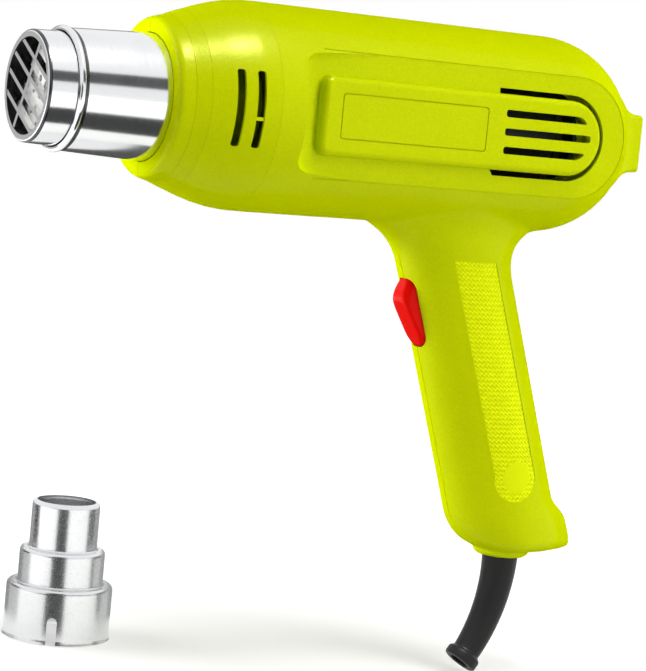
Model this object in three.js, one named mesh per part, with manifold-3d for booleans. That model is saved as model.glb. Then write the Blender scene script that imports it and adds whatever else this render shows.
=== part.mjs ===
// A hand-held hot air tool: a clamshell pistol body with a steel barrel, and a step-down nozzle beside it.
// Millimetres, +Z up. The barrel runs along X with its mouth towards -X, and -Y is the tool's left side.
// Pieces are drawn from the barrel's axis, then moved as one so that the grip's middle is the origin.
import * as THREE from 'three';
import { mergeVertices } from 'three/addons/utils/BufferGeometryUtils.js';
import Module from 'manifold-3d';

const wasm = await Module();
wasm.setup();

const { cos, sin, sqrt, PI } = Math;
const degrees = (angle) => angle * PI / 180;

// Housing: a cylinder with a round tail dome, a stepped-down collar at the front and a raked handle.
const BODY_R = 33.4;
const WALL = 2.6;
const CAVITY_R = BODY_R - WALL;
const DOME_X = 186.5;
const COLLAR_X = 39.7;
const COLLAR_MOUTH_R = 20.5;
const SPLIT_GAP = 0.3;
const SHELL_SIDES = 48;
const CAVITY_SIDES = 28;
const HANDLE_SIDES = 32;

// Flat scoop on each side of the body, with a raised panel, a plate and intake slots in it.
const FLAT_Y = 26.5;
const FLAT_FRONT_X = 79.5;
const FLAT_REAR_X = 230;
const FLAT_HALF_HEIGHT = 20;
const FLAT_CORNER_R = 6;
const PANEL_Y = 30.4;
const PANEL_FRONT_X = 87.3;
const PANEL_END_X = 182.3;
const PANEL_Z = -0.3;
const PANEL_R = 12;
const PANEL_CORNER_R = 3;
const PANEL_BASE_GROW = 0.4;
const PLATE_FRONT_X = 93.5;
const PLATE_REAR_X = 148.5;
const PLATE_HALF_HEIGHT = 7.2;
const PLATE_DEPTH = 0.8;
const SLOT_FRONT_X = 155.4;
const SLOT_HALF_HEIGHT = 1.2;
const SLOT_CORNER_R = 0.8;
const INTAKE_SLOTS = [
  { z: 5.9, rear: 187 },
  { z: -0.1, rear: 190 },
  { z: -6.1, rear: 187 },
];
const MOAT_FRONT_X = 154.6;
const MOAT_WIDTH = 1.9;
const MOAT_REAR_EXTRA = 1.4;

// Cooling vents round the shoulder, just behind the collar.
const VENT_XS = [57.6, 63.8];
const VENT_WIDTH = 2.6;
const VENT_LOW = -12.3;
const VENT_HIGH = 11.2;

// Tail foot: the flat block behind the dome that the tool stands up on.
const TAIL_X = 225.2;
const TAIL_HALF_WIDTH = 12.5;
const TAIL_HALF_HEIGHT = 9.8;
const TAIL_CORNER_R = 1.6;

// Handle: oval sections along a raked axis, flared into the body and drawn out to a heel.
const RAKE = degrees(19.2);
const HANDLE_X = 144.55;
const HANDLE_DEPTH = 21;
const HANDLE_SIDE = 15.8;
const OVAL_POWER = 2.1;
const HANDLE_TOP_Z = -18;
const FLARE_TOP_Z = -26;
const HANDLE_BOTTOM_Z = -143.2;
const FRONT_FLARE_R = 13.5;
const REAR_FLARE_R = 16;
const SIDE_FLARE_R = 14;
const TOE_R = 13;
const FOOT_EDGE_R = 4;
const FOOT_TILT = 0.05;
const HEEL_LENGTH = 4.4;
const HEEL_TOP_Z = -124.5;
const HEEL_FULL_Z = -133;
const STRIP_HALF_WIDTH = 8;
const STRIP_TOP_Z = -44;
const STRIP_END_Z = -116.5;
const STRIP_PROUD = 0.5;

// Cord gland under the handle, and the rubber boot that comes out of it.
const GLAND_X = 192.5;
const GLAND_R = 9.9;
const GLAND_Z = -146;
const GLAND_TOP_Z = -140;
const GLAND_CHAMFER = 1.6;
const GLAND_BORE_R = 6.6;
const BOOT_HEAD_Z = -137.6;
const BOOT_HEAD_R = 7.6;
const BOOT_HEAD_HEIGHT = 2.6;
const BOOT_R = 6.2;
const BOOT_TIP_R = 4.8;
const BOOT_BORE_R = 3.4;
const BOOT_BEND_Z = -147;
const BOOT_BEND_R = 60;
const BOOT_BEND = degrees(38);
const BOOT_LIP_R = 6.1;
const BOOT_LIP_LENGTH = 3.6;
const BOOT_STRAIGHT = BOOT_HEAD_Z - BOOT_BEND_Z;
const BOOT_LENGTH = BOOT_STRAIGHT + BOOT_BEND_R * BOOT_BEND;

// Barrel: an outer heat shield with a rolled bead, and the nozzle sleeve that slip-on nozzles fit over.
const SHIELD_R = 18.75;
const SHIELD_COLLAR_R = 20;
const SHIELD_SHEET = 0.85;
const SHIELD_BEAD_X = 9.4;
const SHIELD_BEAD_R = 19.35;
const FLANGE_X = 73.5;
const FLANGE_R = 27;
const FLANGE_THICKNESS = 1.4;
const SLEEVE_R = 17.25;
const SLEEVE_MOUTH_R = 14.9;
const SLEEVE_END_X = 86;
const GUARD_BAR_STEP = 6.2;
const GUARD_BAR_WIDTH = 1.4;
const GUARD_SLANT = degrees(60);

// Heater inside the sleeve.
const MICA_R = 15.9;
const DISC_R = 15;
const DISC_FRONT_X = 6.6;
const DISC_BACK_X = 12;
const FRAME_HALF_HEIGHT = 11.6;
const COIL_R = 13.4;
const COIL_WIRE_R = 0.55;
const COIL_TURNS = 9;
const COIL_STEPS = 10;

// Fan and motor on the barrel's axis.
const DUCT_R = 23.4;
const FAN_X = 121;
const FAN_LENGTH = 12;
const FAN_R = 20.8;
const FAN_HUB_R = 7;
const FAN_BLADES = 9;
const SHAFT_R = 1.5;
const SHAFT_BORE_R = 1.8;
const MOTOR_X = 140;
const MOTOR_END_X = 185;
const MOTOR_R = 17.5;

// Switch, drawn square to the handle's axis about the middle of its rocker.
const SWITCH_Z = -56.7;
const ROCKER_HALF_WIDTH = 4.7;
const ROCKER_PIVOT = -12;
const CONTACT_X = -2.5;
const CONTACT_SWING = degrees(9);
const OPENING_LOW = -12.8;
const OPENING_HIGH = 13.6;
const OPENING_HALF_WIDTH = 5.1;

// Housing screws: their place in the side view, and how far from the middle their heads sit.
const BOSS_R = 3.3;
const PILOT_SPARE = 0.5;
const SCREW_R = 1.45;
const SCREW_HEAD_R = 3;
const SCREW_HEAD_HEIGHT = 2.2;
const SCREW_TIP_Y = -8;
const HOUSING_SCREWS = [
  { name: 'screw_top_front', x: 100, z: 27.4, seat: 10 },
  { name: 'screw_top_rear', x: 166, z: 27.4, seat: 10 },
  { name: 'screw_bottom_front', x: 100, z: -27.4, seat: 10 },
  { name: 'screw_tail', x: 207, z: 16.5, seat: 10 },
  { name: 'screw_handle_top', x: 157, z: -36.5, seat: 8 },
  { name: 'screw_handle_bottom', x: 187.5, z: -120, seat: 8 },
];
const CLAMP_POST_XS = [184, 201];
const CLAMP_Z = -131;
const LEAD_R = 1.1;

// Step-down nozzle, standing on the level of the boot's lowest point.
const FLOOR_Z = -187.7;
const REDUCER_X = 59;
const REDUCER_Y = 71.5;
const REDUCER_SHEET = 0.6;
const REDUCER_SKIRT_R = 18.3;
const REDUCER_MIDDLE_R = 14.7;
const REDUCER_SPOUT_R = 11.7;
const REDUCER_MOUTH_R = 10.1;
const REDUCER_SKIRT_HEIGHT = 18.6;
const REDUCER_MIDDLE_TOP = 30.6;
const REDUCER_HEIGHT = 47;
const REDUCER_SLOT_WIDTH = 3.4;
const REDUCER_SLOT_HEIGHT = 9.4;
const REDUCER_SLOTS = 3;
const REDUCER_LIP = 0.5;
const REDUCER_EDGE_R = 1.2;
const REDUCER_FACING = degrees(-120);

// Middle of the grip, which becomes the origin.
const GRIP_Z = -85;

const GAP = 0.3;
const WELD = 1e-4;

const lime = new THREE.MeshStandardMaterial({ color: 0xc3d600, roughness: 0.42, metalness: 0 });
const steel = new THREE.MeshStandardMaterial({ color: 0xd0d2d4, roughness: 0.18, metalness: 1 });
const zinc = new THREE.MeshStandardMaterial({ color: 0x9fa3a6, roughness: 0.4, metalness: 1 });
const copper = new THREE.MeshStandardMaterial({ color: 0xb4713c, roughness: 0.35, metalness: 1 });
const brass = new THREE.MeshStandardMaterial({ color: 0xc9a24b, roughness: 0.35, metalness: 1 });
const ceramic = new THREE.MeshStandardMaterial({ color: 0xe4ddcc, roughness: 0.7, metalness: 0 });
const mica = new THREE.MeshStandardMaterial({ color: 0xb9a878, roughness: 0.5, metalness: 0 });
const heatingWire = new THREE.MeshStandardMaterial({ color: 0x6f6a66, roughness: 0.45, metalness: 1 });
const red = new THREE.MeshStandardMaterial({ color: 0xd8100c, roughness: 0.25, metalness: 0 });
const black = new THREE.MeshStandardMaterial({ color: 0x1d1d1f, roughness: 0.55, metalness: 0 });
const rubber = new THREE.MeshStandardMaterial({ color: 0x222224, roughness: 0.7, metalness: 0 });
const magnet = new THREE.MeshStandardMaterial({ color: 0x3b3d40, roughness: 0.8, metalness: 0 });
const board = new THREE.MeshStandardMaterial({ color: 0x2f6b3c, roughness: 0.5, metalness: 0 });
const brownWire = new THREE.MeshStandardMaterial({ color: 0x6b4428, roughness: 0.6, metalness: 0 });
const blueWire = new THREE.MeshStandardMaterial({ color: 0x2b55a6, roughness: 0.6, metalness: 0 });

const tool = new THREE.Group();
const handleAxisX = (z) => HANDLE_X - z * Math.tan(RAKE);
tool.position.set(-handleAxisX(GRIP_Z), 0, -GRIP_Z);

const switchGroup = new THREE.Group();
switchGroup.position.set(handleAxisX(SWITCH_Z), 0, SWITCH_Z);
switchGroup.rotation.y = -RAKE;
switchGroup.updateMatrix();
tool.add(switchGroup);

function addPiece(name, geometry, material, parent = tool) {
  const mesh = new THREE.Mesh(geometry, material);
  mesh.name = name;
  parent.add(mesh);
  return mesh;
}

function signedVolume(position, index) {
  const a = new THREE.Vector3();
  const b = new THREE.Vector3();
  const c = new THREE.Vector3();
  let total = 0;
  for (let i = 0; i < index.length; i += 3) {
    a.fromBufferAttribute(position, index[i]);
    b.fromBufferAttribute(position, index[i + 1]);
    c.fromBufferAttribute(position, index[i + 2]);
    total += a.dot(b.cross(c));
  }
  return total;
}

// The geometry as a solid: vertices welded, triangles of no area dropped, faces turned outwards.
function solid(geometry) {
  const bare = geometry.clone();
  bare.deleteAttribute('normal');
  bare.deleteAttribute('uv');
  const welded = mergeVertices(bare, WELD);
  const position = welded.getAttribute('position');
  const triangles = [];
  for (let i = 0; i < welded.index.count; i += 3) {
    const [a, b, c] = [0, 1, 2].map((corner) => welded.index.getX(i + corner));
    if (a !== b && b !== c && c !== a) {
      triangles.push(a, b, c);
    }
  }
  if (signedVolume(position, triangles) < 0) {
    triangles.reverse();
  }
  const mesh = new wasm.Mesh({
    numProp: 3,
    vertProperties: new Float32Array(position.array),
    triVerts: new Uint32Array(triangles),
  });
  return new wasm.Manifold(mesh);
}

function geometryOf(shape) {
  const mesh = shape.getMesh();
  const geometry = new THREE.BufferGeometry();
  geometry.setAttribute('position', new THREE.BufferAttribute(mesh.vertProperties, 3));
  geometry.setIndex(new THREE.BufferAttribute(mesh.triVerts, 1));
  return geometry;
}

// A body of revolution about X from [x, r] pairs, anticlockwise with r to the right and x up.
function turnedX(profile, sides) {
  const points = profile.map(([x, r]) => new THREE.Vector2(r, x));
  return new THREE.LatheGeometry(points, sides).rotateZ(-PI / 2);
}

function turnedZ(profile, sides) {
  const points = profile.map(([z, r]) => new THREE.Vector2(r, z));
  return new THREE.LatheGeometry(points, sides).rotateX(PI / 2);
}

// A closed ring: the profile's first point is repeated at its end.
function ringX(profile, sides) {
  return turnedX([...profile, profile[0]], sides);
}

function boxBetween(low, high) {
  const size = high.map((value, i) => value - low[i]);
  const middle = high.map((value, i) => (value + low[i]) / 2);
  return new THREE.BoxGeometry(...size).translate(...middle);
}

function rodY(x, z, radius, yLow, yHigh, sides = 10) {
  const rod = new THREE.CylinderGeometry(radius, radius, yHigh - yLow, sides);
  return rod.translate(x, (yLow + yHigh) / 2, z);
}

function rodX(y, z, radius, xLow, xHigh, sides = 16) {
  const rod = new THREE.CylinderGeometry(radius, radius, xHigh - xLow, sides).rotateZ(-PI / 2);
  return rod.translate((xLow + xHigh) / 2, y, z);
}

// A skin over rings of equal counts, closed by a fan at each end.
function loft(rings) {
  const count = rings[0].length;
  const points = rings.flat();
  const index = [];
  for (let ring = 0; ring + 1 < rings.length; ring += 1) {
    for (let i = 0; i < count; i += 1) {
      const a = ring * count + i;
      const b = ring * count + (i + 1) % count;
      index.push(a, b, b + count, a, b + count, a + count);
    }
  }
  const last = (rings.length - 1) * count;
  for (let i = 1; i + 1 < count; i += 1) {
    index.push(0, i + 1, i, last, last + i, last + i + 1);
  }
  const geometry = new THREE.BufferGeometry().setFromPoints(points);
  geometry.setIndex(index);
  return geometry;
}

// A round tube along a curve.
function tubeAlong(curve, radius, steps, sides) {
  const frames = curve.computeFrenetFrames(steps, false);
  const rings = frames.normals.map((normal, step) => {
    const centre = curve.getPointAt(step / steps);
    return Array.from({ length: sides }, (_, side) => {
      const angle = 2 * PI * side / sides;
      return centre.clone()
        .addScaledVector(normal, radius * cos(angle))
        .addScaledVector(frames.binormals[step], radius * sin(angle));
    });
  });
  return loft(rings);
}

// A flat outline in the side view, as a prism between two distances from the middle, on either side.
function sidePrism(shape, yInner, yOuter, side, segments = 2) {
  const options = { depth: yOuter - yInner, bevelEnabled: false, curveSegments: segments };
  const prism = new THREE.ExtrudeGeometry(shape, options).rotateX(PI / 2).translate(0, -yInner, 0);
  return side < 0 ? prism : prism.scale(1, -1, 1);
}

function roundedRectangle(left, bottom, right, top, radius) {
  const shape = new THREE.Shape();
  shape.moveTo(left + radius, bottom);
  shape.lineTo(right - radius, bottom);
  shape.absarc(right - radius, bottom + radius, radius, -PI / 2, 0);
  shape.lineTo(right, top - radius);
  shape.absarc(right - radius, top - radius, radius, 0, PI / 2);
  shape.lineTo(left + radius, top);
  shape.absarc(left + radius, top - radius, radius, PI / 2, PI);
  shape.lineTo(left, bottom + radius);
  shape.absarc(left + radius, bottom + radius, radius, PI, 1.5 * PI);
  return shape;
}

// How far a quarter round has drawn away from its straight run, a given distance along it.
function roundOff(radius, along) {
  const reach = Math.min(Math.max(along, 0), 0.95 * radius);
  return radius - sqrt(radius * radius - reach * reach);
}

function smoothStep(from, to, value) {
  const t = Math.min(Math.max((value - from) / (to - from), 0), 1);
  return t * t * (3 - 2 * t);
}

// One oval section of the handle at a height, grown evenly all round.
function handleSection(z, grow) {
  const flareZ = Math.min(z, FLARE_TOP_Z);
  const toe = roundOff(TOE_R, HANDLE_BOTTOM_Z + TOE_R - z);
  const front = roundOff(FRONT_FLARE_R, flareZ + BODY_R + FRONT_FLARE_R) - toe;
  const heel = HEEL_LENGTH * smoothStep(HEEL_TOP_Z, HEEL_FULL_Z, z);
  const rear = roundOff(REAR_FLARE_R, flareZ + BODY_R + REAR_FLARE_R) + heel;
  const sideFlareLow = -sqrt((BODY_R + SIDE_FLARE_R) ** 2 - (HANDLE_SIDE + SIDE_FLARE_R) ** 2);
  const footEdge = roundOff(FOOT_EDGE_R, HANDLE_BOTTOM_Z + FOOT_EDGE_R - z);
  const side = HANDLE_SIDE + roundOff(SIDE_FLARE_R, flareZ - sideFlareLow) - footEdge + grow;
  const tilt = FOOT_TILT * smoothStep(HEEL_TOP_Z, HANDLE_BOTTOM_Z, z);
  return Array.from({ length: HANDLE_SIDES }, (_, i) => {
    const angle = 2 * PI * i / HANDLE_SIDES;
    const lengthways = cos(angle);
    const across = sin(angle);
    const reach = HANDLE_DEPTH + grow + (lengthways > 0 ? rear - footEdge / 2 : front);
    const x = reach * Math.sign(lengthways) * Math.abs(lengthways) ** (2 / OVAL_POWER);
    const y = side * Math.sign(across) * Math.abs(across) ** (2 / OVAL_POWER);
    return new THREE.Vector3(handleAxisX(z) + x, y, z + tilt * x);
  });
}

function handleOuter(grow) {
  const flare = [FLARE_TOP_Z, -28.5, -31, -33, -35, -37.5, -40.5, -44, -49];
  const foot = [HEEL_TOP_Z, -127, -129.5, -133, -136, -138.5, -140.5, -142, HANDLE_BOTTOM_Z];
  const heights = [HANDLE_TOP_Z, ...flare, -84, ...foot].reverse();
  return loft(heights.map((z) => handleSection(z, grow)));
}

// The hollow of the handle is a plain raked shaft that stops short of the foot and the heel.
function handleCavity() {
  const floorZ = HANDLE_BOTTOM_Z + WALL;
  const heights = [floorZ, floorZ + 2, floorZ + 5, -129, -24];
  const rings = heights.map((z) => {
    const toe = roundOff(TOE_R, floorZ + TOE_R - z);
    return Array.from({ length: CAVITY_SIDES }, (_, i) => {
      const angle = 2 * PI * i / CAVITY_SIDES;
      const reach = HANDLE_DEPTH - WALL - (cos(angle) < 0 ? toe : 0);
      const x = reach * Math.sign(cos(angle)) * Math.abs(cos(angle)) ** (2 / OVAL_POWER);
      const y = (HANDLE_SIDE - WALL - roundOff(FOOT_EDGE_R, floorZ + FOOT_EDGE_R - z)) * sin(angle);
      return new THREE.Vector3(handleAxisX(z) + x, y, z);
    });
  });
  return loft(rings);
}

// Collar, concave shoulder, cylinder and dome of the body's outside.
function bodyProfile() {
  const rim = [[COLLAR_X, 0], [COLLAR_X, 24.2], [COLLAR_X + 0.9, 25.2], [COLLAR_X + 4.8, 26.2]];
  const shoulder = [[49, 27.95], [52, 29], [55.5, 30.25], [60, 31.6], [65, 32.7], [70.5, 33.3], [76, BODY_R]];
  const dome = [];
  for (let angle = 90; angle > 0; angle -= 10) {
    dome.push([DOME_X + BODY_R * cos(degrees(angle)), BODY_R * sin(degrees(angle))]);
  }
  return [...rim, ...shoulder, ...dome, [DOME_X + BODY_R, 0]];
}

// The hollow inside the body, with two ribs that hold the barrel's flange between them.
function bodyCavityProfile() {
  const ribR = 24.6;
  const collar = [[COLLAR_X - 2, 0], [COLLAR_X - 2, COLLAR_MOUTH_R], [52, COLLAR_MOUTH_R], [57, 28.2]];
  const ribs = [];
  for (const x of [FLANGE_X - 2.6, FLANGE_X + 1.8]) {
    ribs.push([x, CAVITY_R], [x, ribR], [x + 2.2, ribR], [x + 2.2, CAVITY_R]);
  }
  const dome = [];
  for (let angle = 90; angle > 0; angle -= 15) {
    dome.push([DOME_X + CAVITY_R * cos(degrees(angle)), CAVITY_R * sin(degrees(angle))]);
  }
  return [...collar, [64, 29.8], [70, CAVITY_R], ...ribs, ...dome, [DOME_X + CAVITY_R, 0]];
}

// The tail foot swells towards the dome, so that the two run together.
function tailFoot() {
  const swells = [[205, 9], [213, 5.5], [216.5, 2.6], [219, 1], [221.5, 0.2], [TAIL_X, 0]];
  const rings = swells.map(([x, swell]) => {
    const halfWidth = TAIL_HALF_WIDTH + 0.6 * swell;
    const halfHeight = TAIL_HALF_HEIGHT + swell;
    return roundedRectangle(-halfWidth, -halfHeight, halfWidth, halfHeight, TAIL_CORNER_R)
      .getPoints(3)
      .slice(0, -1)
      .map((point) => new THREE.Vector3(x, point.x, point.y));
  });
  return loft(rings);
}

// Outline of the flat in the body's side, grown to the front, upwards and downwards.
function flatOutline(grow) {
  const halfHeight = FLAT_HALF_HEIGHT + grow;
  return roundedRectangle(FLAT_FRONT_X - grow, -halfHeight, FLAT_REAR_X, halfHeight, FLAT_CORNER_R);
}

// Outline of the raised panel: square at the front, round at the rear, grown evenly all round.
function panelOutline(grow, endX = PANEL_END_X) {
  const front = PANEL_FRONT_X - grow;
  const radius = PANEL_R + grow;
  const corner = PANEL_CORNER_R + grow;
  const shape = new THREE.Shape();
  shape.moveTo(front + corner, PANEL_Z - radius);
  shape.absarc(endX, PANEL_Z, radius, -PI / 2, PI / 2);
  shape.absarc(front + corner, PANEL_Z + radius - corner, corner, PI / 2, PI);
  shape.absarc(front + corner, PANEL_Z + corner - radius, corner, PI, 1.5 * PI);
  return shape;
}

function raisedPanel(side) {
  const foot = [[FLAT_Y - 1, PANEL_BASE_GROW], [FLAT_Y, PANEL_BASE_GROW]];
  const levels = [...foot, [PANEL_Y - 1, 0], [PANEL_Y, -0.8]];
  const rings = levels.map(([y, grow]) => panelOutline(grow)
    .getPoints(8)
    .slice(0, -1)
    .map((point) => new THREE.Vector3(point.x, side * y, point.y)));
  return loft(rings);
}

// The open gap round the panel's rear end, widest behind it.
function moat() {
  const shape = panelOutline(PANEL_BASE_GROW + MOAT_WIDTH, PANEL_END_X + MOAT_REAR_EXTRA);
  shape.holes.push(panelOutline(PANEL_BASE_GROW));
  return shape;
}

function slotOutline(slot) {
  const low = slot.z - SLOT_HALF_HEIGHT;
  const high = slot.z + SLOT_HALF_HEIGHT;
  return roundedRectangle(SLOT_FRONT_X, low, slot.rear, high, SLOT_CORNER_R);
}

// Grip strip: a band along the handle's side with a round lower end.
function stripOutline() {
  const radius = STRIP_HALF_WIDTH / cos(RAKE);
  const topX = handleAxisX(STRIP_TOP_Z);
  const endX = handleAxisX(STRIP_END_Z);
  const shape = new THREE.Shape();
  shape.moveTo(topX + radius, STRIP_TOP_Z);
  shape.lineTo(topX - radius, STRIP_TOP_Z);
  shape.lineTo(endX - radius, STRIP_END_Z);
  shape.absarc(endX, STRIP_END_Z, radius, PI, 2 * PI);
  return shape;
}

// The rocker's opening is close round it at the handle's skin and wider inside, where its ends swing.
function rockerOpening() {
  const outline = [[-26, -10.6], [-20.2, -10.9], [-18.2, -12.2], [-10, OPENING_LOW], [-10, OPENING_HIGH],
    [-15, 13.4], [-18, 12.8], [-20.4, 11.4], [-26, 11.2]];
  const shape = new THREE.Shape(outline.map(([u, w]) => new THREE.Vector2(u, w)));
  const hole = sidePrism(shape, -OPENING_HALF_WIDTH, OPENING_HALF_WIDTH, -1);
  return hole.applyMatrix4(switchGroup.matrix);
}

function housing() {
  let outer = solid(turnedX(bodyProfile(), SHELL_SIDES));
  outer = outer.add(solid(handleOuter(0))).add(solid(tailFoot()));
  const gland = [[GLAND_Z, 0], [GLAND_Z, GLAND_R - GLAND_CHAMFER], [GLAND_Z + GLAND_CHAMFER, GLAND_R],
    [GLAND_TOP_Z, GLAND_R], [GLAND_TOP_Z, 0]];
  outer = outer.add(solid(turnedZ(gland, CAVITY_SIDES).translate(GLAND_X, 0, 0)));
  let hollow = solid(turnedX(bodyCavityProfile(), CAVITY_SIDES));
  const handleSkin = solid(handleOuter(STRIP_PROUD));
  for (const side of [-1, 1]) {
    const flat = flatOutline(0);
    const flatInside = flatOutline(WALL);
    const strip = solid(sidePrism(stripOutline(), HANDLE_SIDE - 6, HANDLE_SIDE + 2, side, 5));
    const pocket = solid(sidePrism(panelOutline(-WALL), 20, PANEL_Y - WALL, side));
    outer = outer.subtract(solid(sidePrism(flat, FLAT_Y, 40, side)));
    outer = outer.add(solid(raisedPanel(side))).add(strip.intersect(handleSkin));
    hollow = hollow.subtract(solid(sidePrism(flatInside, FLAT_Y - WALL, 40, side))).add(pocket);
  }
  let shell = outer.subtract(hollow.add(solid(handleCavity())));
  shell = shell.subtract(solid(rockerOpening()));
  const [boreLow, boreHigh] = [GLAND_Z - 4, GLAND_TOP_Z + 2];
  const bore = [[boreLow, 0], [boreLow, GLAND_BORE_R], [boreHigh, GLAND_BORE_R], [boreHigh, 0]];
  shell = shell.subtract(solid(turnedZ(bore, CAVITY_SIDES).translate(GLAND_X, 0, 0)));
  for (const side of [-1, 1]) {
    const plate = roundedRectangle(PLATE_FRONT_X, -PLATE_HALF_HEIGHT, PLATE_REAR_X, PLATE_HALF_HEIGHT, 1);
    const gap = solid(sidePrism(moat(), 20, FLAT_Y + 1, side, 8));
    const rearOnly = solid(boxBetween([MOAT_FRONT_X, -40, -20], [210, 40, 20]));
    shell = shell.subtract(gap.intersect(rearOnly));
    shell = shell.subtract(solid(sidePrism(plate, PANEL_Y - PLATE_DEPTH, PANEL_Y + 1, side, 1)));
    for (const slot of INTAKE_SLOTS) {
      shell = shell.subtract(solid(sidePrism(slotOutline(slot), 22, PANEL_Y + 1, side, 1)));
    }
    for (const x of VENT_XS) {
      const [front, rear] = [x - VENT_WIDTH / 2, x + VENT_WIDTH / 2];
      const vent = roundedRectangle(front, VENT_LOW, rear, VENT_HIGH, SLOT_CORNER_R);
      shell = shell.subtract(solid(sidePrism(vent, 15, 40, side, 1)));
    }
  }
  return { shell, outer };
}

// Screw bosses on both halves, and the two posts of the cord clamp on the left half.
function housingHalves() {
  const { shell, outer } = housing();
  let left = shell.intersect(solid(boxBetween([0, -60, -200], [260, -SPLIT_GAP / 2, 60])));
  let right = shell.intersect(solid(boxBetween([0, SPLIT_GAP / 2, -200], [260, 60, 60])));
  for (const { x, z, seat } of HOUSING_SCREWS) {
    left = left.add(solid(rodY(x, z, BOSS_R, -40, -SPLIT_GAP / 2)).intersect(outer));
    right = right.add(solid(rodY(x, z, BOSS_R + 1, SPLIT_GAP / 2, 40)).intersect(outer));
    left = left.subtract(solid(rodY(x, z, SCREW_R + PILOT_SPARE, SCREW_TIP_Y - 1, 5, 8)));
    right = right.subtract(solid(rodY(x, z, SCREW_R + PILOT_SPARE, -5, 40, 8)));
    right = right.subtract(solid(rodY(x, z, SCREW_HEAD_R + 0.4, seat, 40)));
  }
  for (const x of CLAMP_POST_XS) {
    left = left.add(solid(rodY(x, CLAMP_Z, 3.2, -40, 3.4)).intersect(outer));
    left = left.subtract(solid(rodY(x, CLAMP_Z, 1.6, -8.5, 5, 8)));
  }
  addPiece('left_housing', geometryOf(left), lime);
  addPiece('right_housing', geometryOf(right), lime);
}

function namePlates() {
  const halfHeight = PLATE_HALF_HEIGHT - GAP;
  const plate = roundedRectangle(PLATE_FRONT_X + GAP, -halfHeight, PLATE_REAR_X - GAP, halfHeight, 0.8);
  for (const [name, side] of [['left_name_plate', -1], ['right_name_plate', 1]]) {
    const body = sidePrism(plate, PANEL_Y - PLATE_DEPTH + GAP, PANEL_Y, side, 1);
    addPiece(name, geometryOf(solid(body)), lime);
  }
}

// Pan head, shank and point, lying along Y with the point towards -Y.
function screwGeometry(headR, headHeight, shankR, length) {
  const shank = [[0, -length], [shankR, 2 * shankR - length], [shankR, 0]];
  const head = [[headR, 0], [headR, 0.6 * headHeight], [0.6 * headR, headHeight], [0, headHeight]];
  const points = [...shank, ...head].map(([r, y]) => new THREE.Vector2(r, y));
  return new THREE.LatheGeometry(points, 10);
}

function screws() {
  for (const { name, x, z, seat } of HOUSING_SCREWS) {
    const length = seat + GAP - SCREW_TIP_Y;
    const screw = screwGeometry(SCREW_HEAD_R, SCREW_HEAD_HEIGHT, SCREW_R, length);
    addPiece(name, screw, zinc).position.set(x, seat + GAP, z);
  }
}

// The shield widens from its bead to the collar, and its flange sits between the ribs of the housing.
function barrel() {
  const bore = SHIELD_R - SHIELD_SHEET;
  const backBore = SHIELD_COLLAR_R - SHIELD_SHEET;
  const flangeBack = FLANGE_X + FLANGE_THICKNESS;
  const bead = [[SHIELD_BEAD_X, SHIELD_BEAD_R - 0.45], [SHIELD_BEAD_X + 0.5, SHIELD_BEAD_R],
    [SHIELD_BEAD_X + 1.5, SHIELD_BEAD_R], [SHIELD_BEAD_X + 2.1, SHIELD_R]];
  const flange = [[COLLAR_X, SHIELD_COLLAR_R], [FLANGE_X, SHIELD_COLLAR_R], [FLANGE_X, FLANGE_R],
    [flangeBack, FLANGE_R], [flangeBack, backBore], [COLLAR_X, backBore]];
  addPiece('barrel_heat_shield', ringX([[SHIELD_BEAD_X, bore], ...bead, ...flange], 32), steel);
  const backR = SLEEVE_R + 0.25;
  const rim = [[0, SLEEVE_MOUTH_R], [0, SLEEVE_R - 0.6], [0.6, SLEEVE_R]];
  const sleeveOutside = [...rim, [9, backR], [SLEEVE_END_X, backR]];
  const sleeveInside = [[SLEEVE_END_X, backR - 0.6], [0.9, SLEEVE_R - 0.65], [0.9, SLEEVE_MOUTH_R]];
  addPiece('nozzle_sleeve', ringX([...sleeveOutside, ...sleeveInside], 32), steel);
}

// Finger guard in the mouth: four slanted bars and one across them, in a thin ring.
function outletGuard() {
  const ringR = 16.2;
  const front = 1.2;
  const back = 2.4;
  let guard = solid(ringX([[front, ringR - 1], [front, ringR], [back, ringR], [back, ringR - 1]], 32));
  const disc = solid(rodX(0, 0, ringR - 0.3, front, back, 32));
  const half = GUARD_BAR_WIDTH / 2;
  const bar = (offset, angle) => boxBetween([front, -half, -20], [back, half, 20])
    .translate(0, offset, 0)
    .rotateX(angle);
  for (const step of [-1.5, -0.5, 0.5, 1.5]) {
    guard = guard.add(solid(bar(step * GUARD_BAR_STEP, -GUARD_SLANT)).intersect(disc));
  }
  guard = guard.add(solid(bar(0, PI / 2 - GUARD_SLANT)).intersect(disc));
  addPiece('outlet_guard', geometryOf(guard), steel);
}

// A ceramic disc with a round of air holes.
function drilledDisc(front, back, holes) {
  let disc = solid(rodX(0, 0, DISC_R, front, back, 24));
  for (const { count, circle, radius } of holes) {
    for (let i = 0; i < count; i += 1) {
      const angle = 2 * PI * (i + 0.5) / count;
      const hole = rodX(circle * cos(angle), circle * sin(angle), radius, front - 1, back + 1, 6);
      disc = disc.subtract(solid(hole));
    }
  }
  return geometryOf(disc);
}

// Least distance between two turns of the winding, from points along its wire.
function leastGap(points, stepsPerTurn, wireR) {
  let least = Infinity;
  for (let i = 0; i < points.length; i += 1) {
    for (let j = i + Math.ceil(stepsPerTurn / 2); j < points.length; j += 1) {
      least = Math.min(least, points[i].distanceTo(points[j]));
    }
  }
  return least - 2 * wireR;
}

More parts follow.
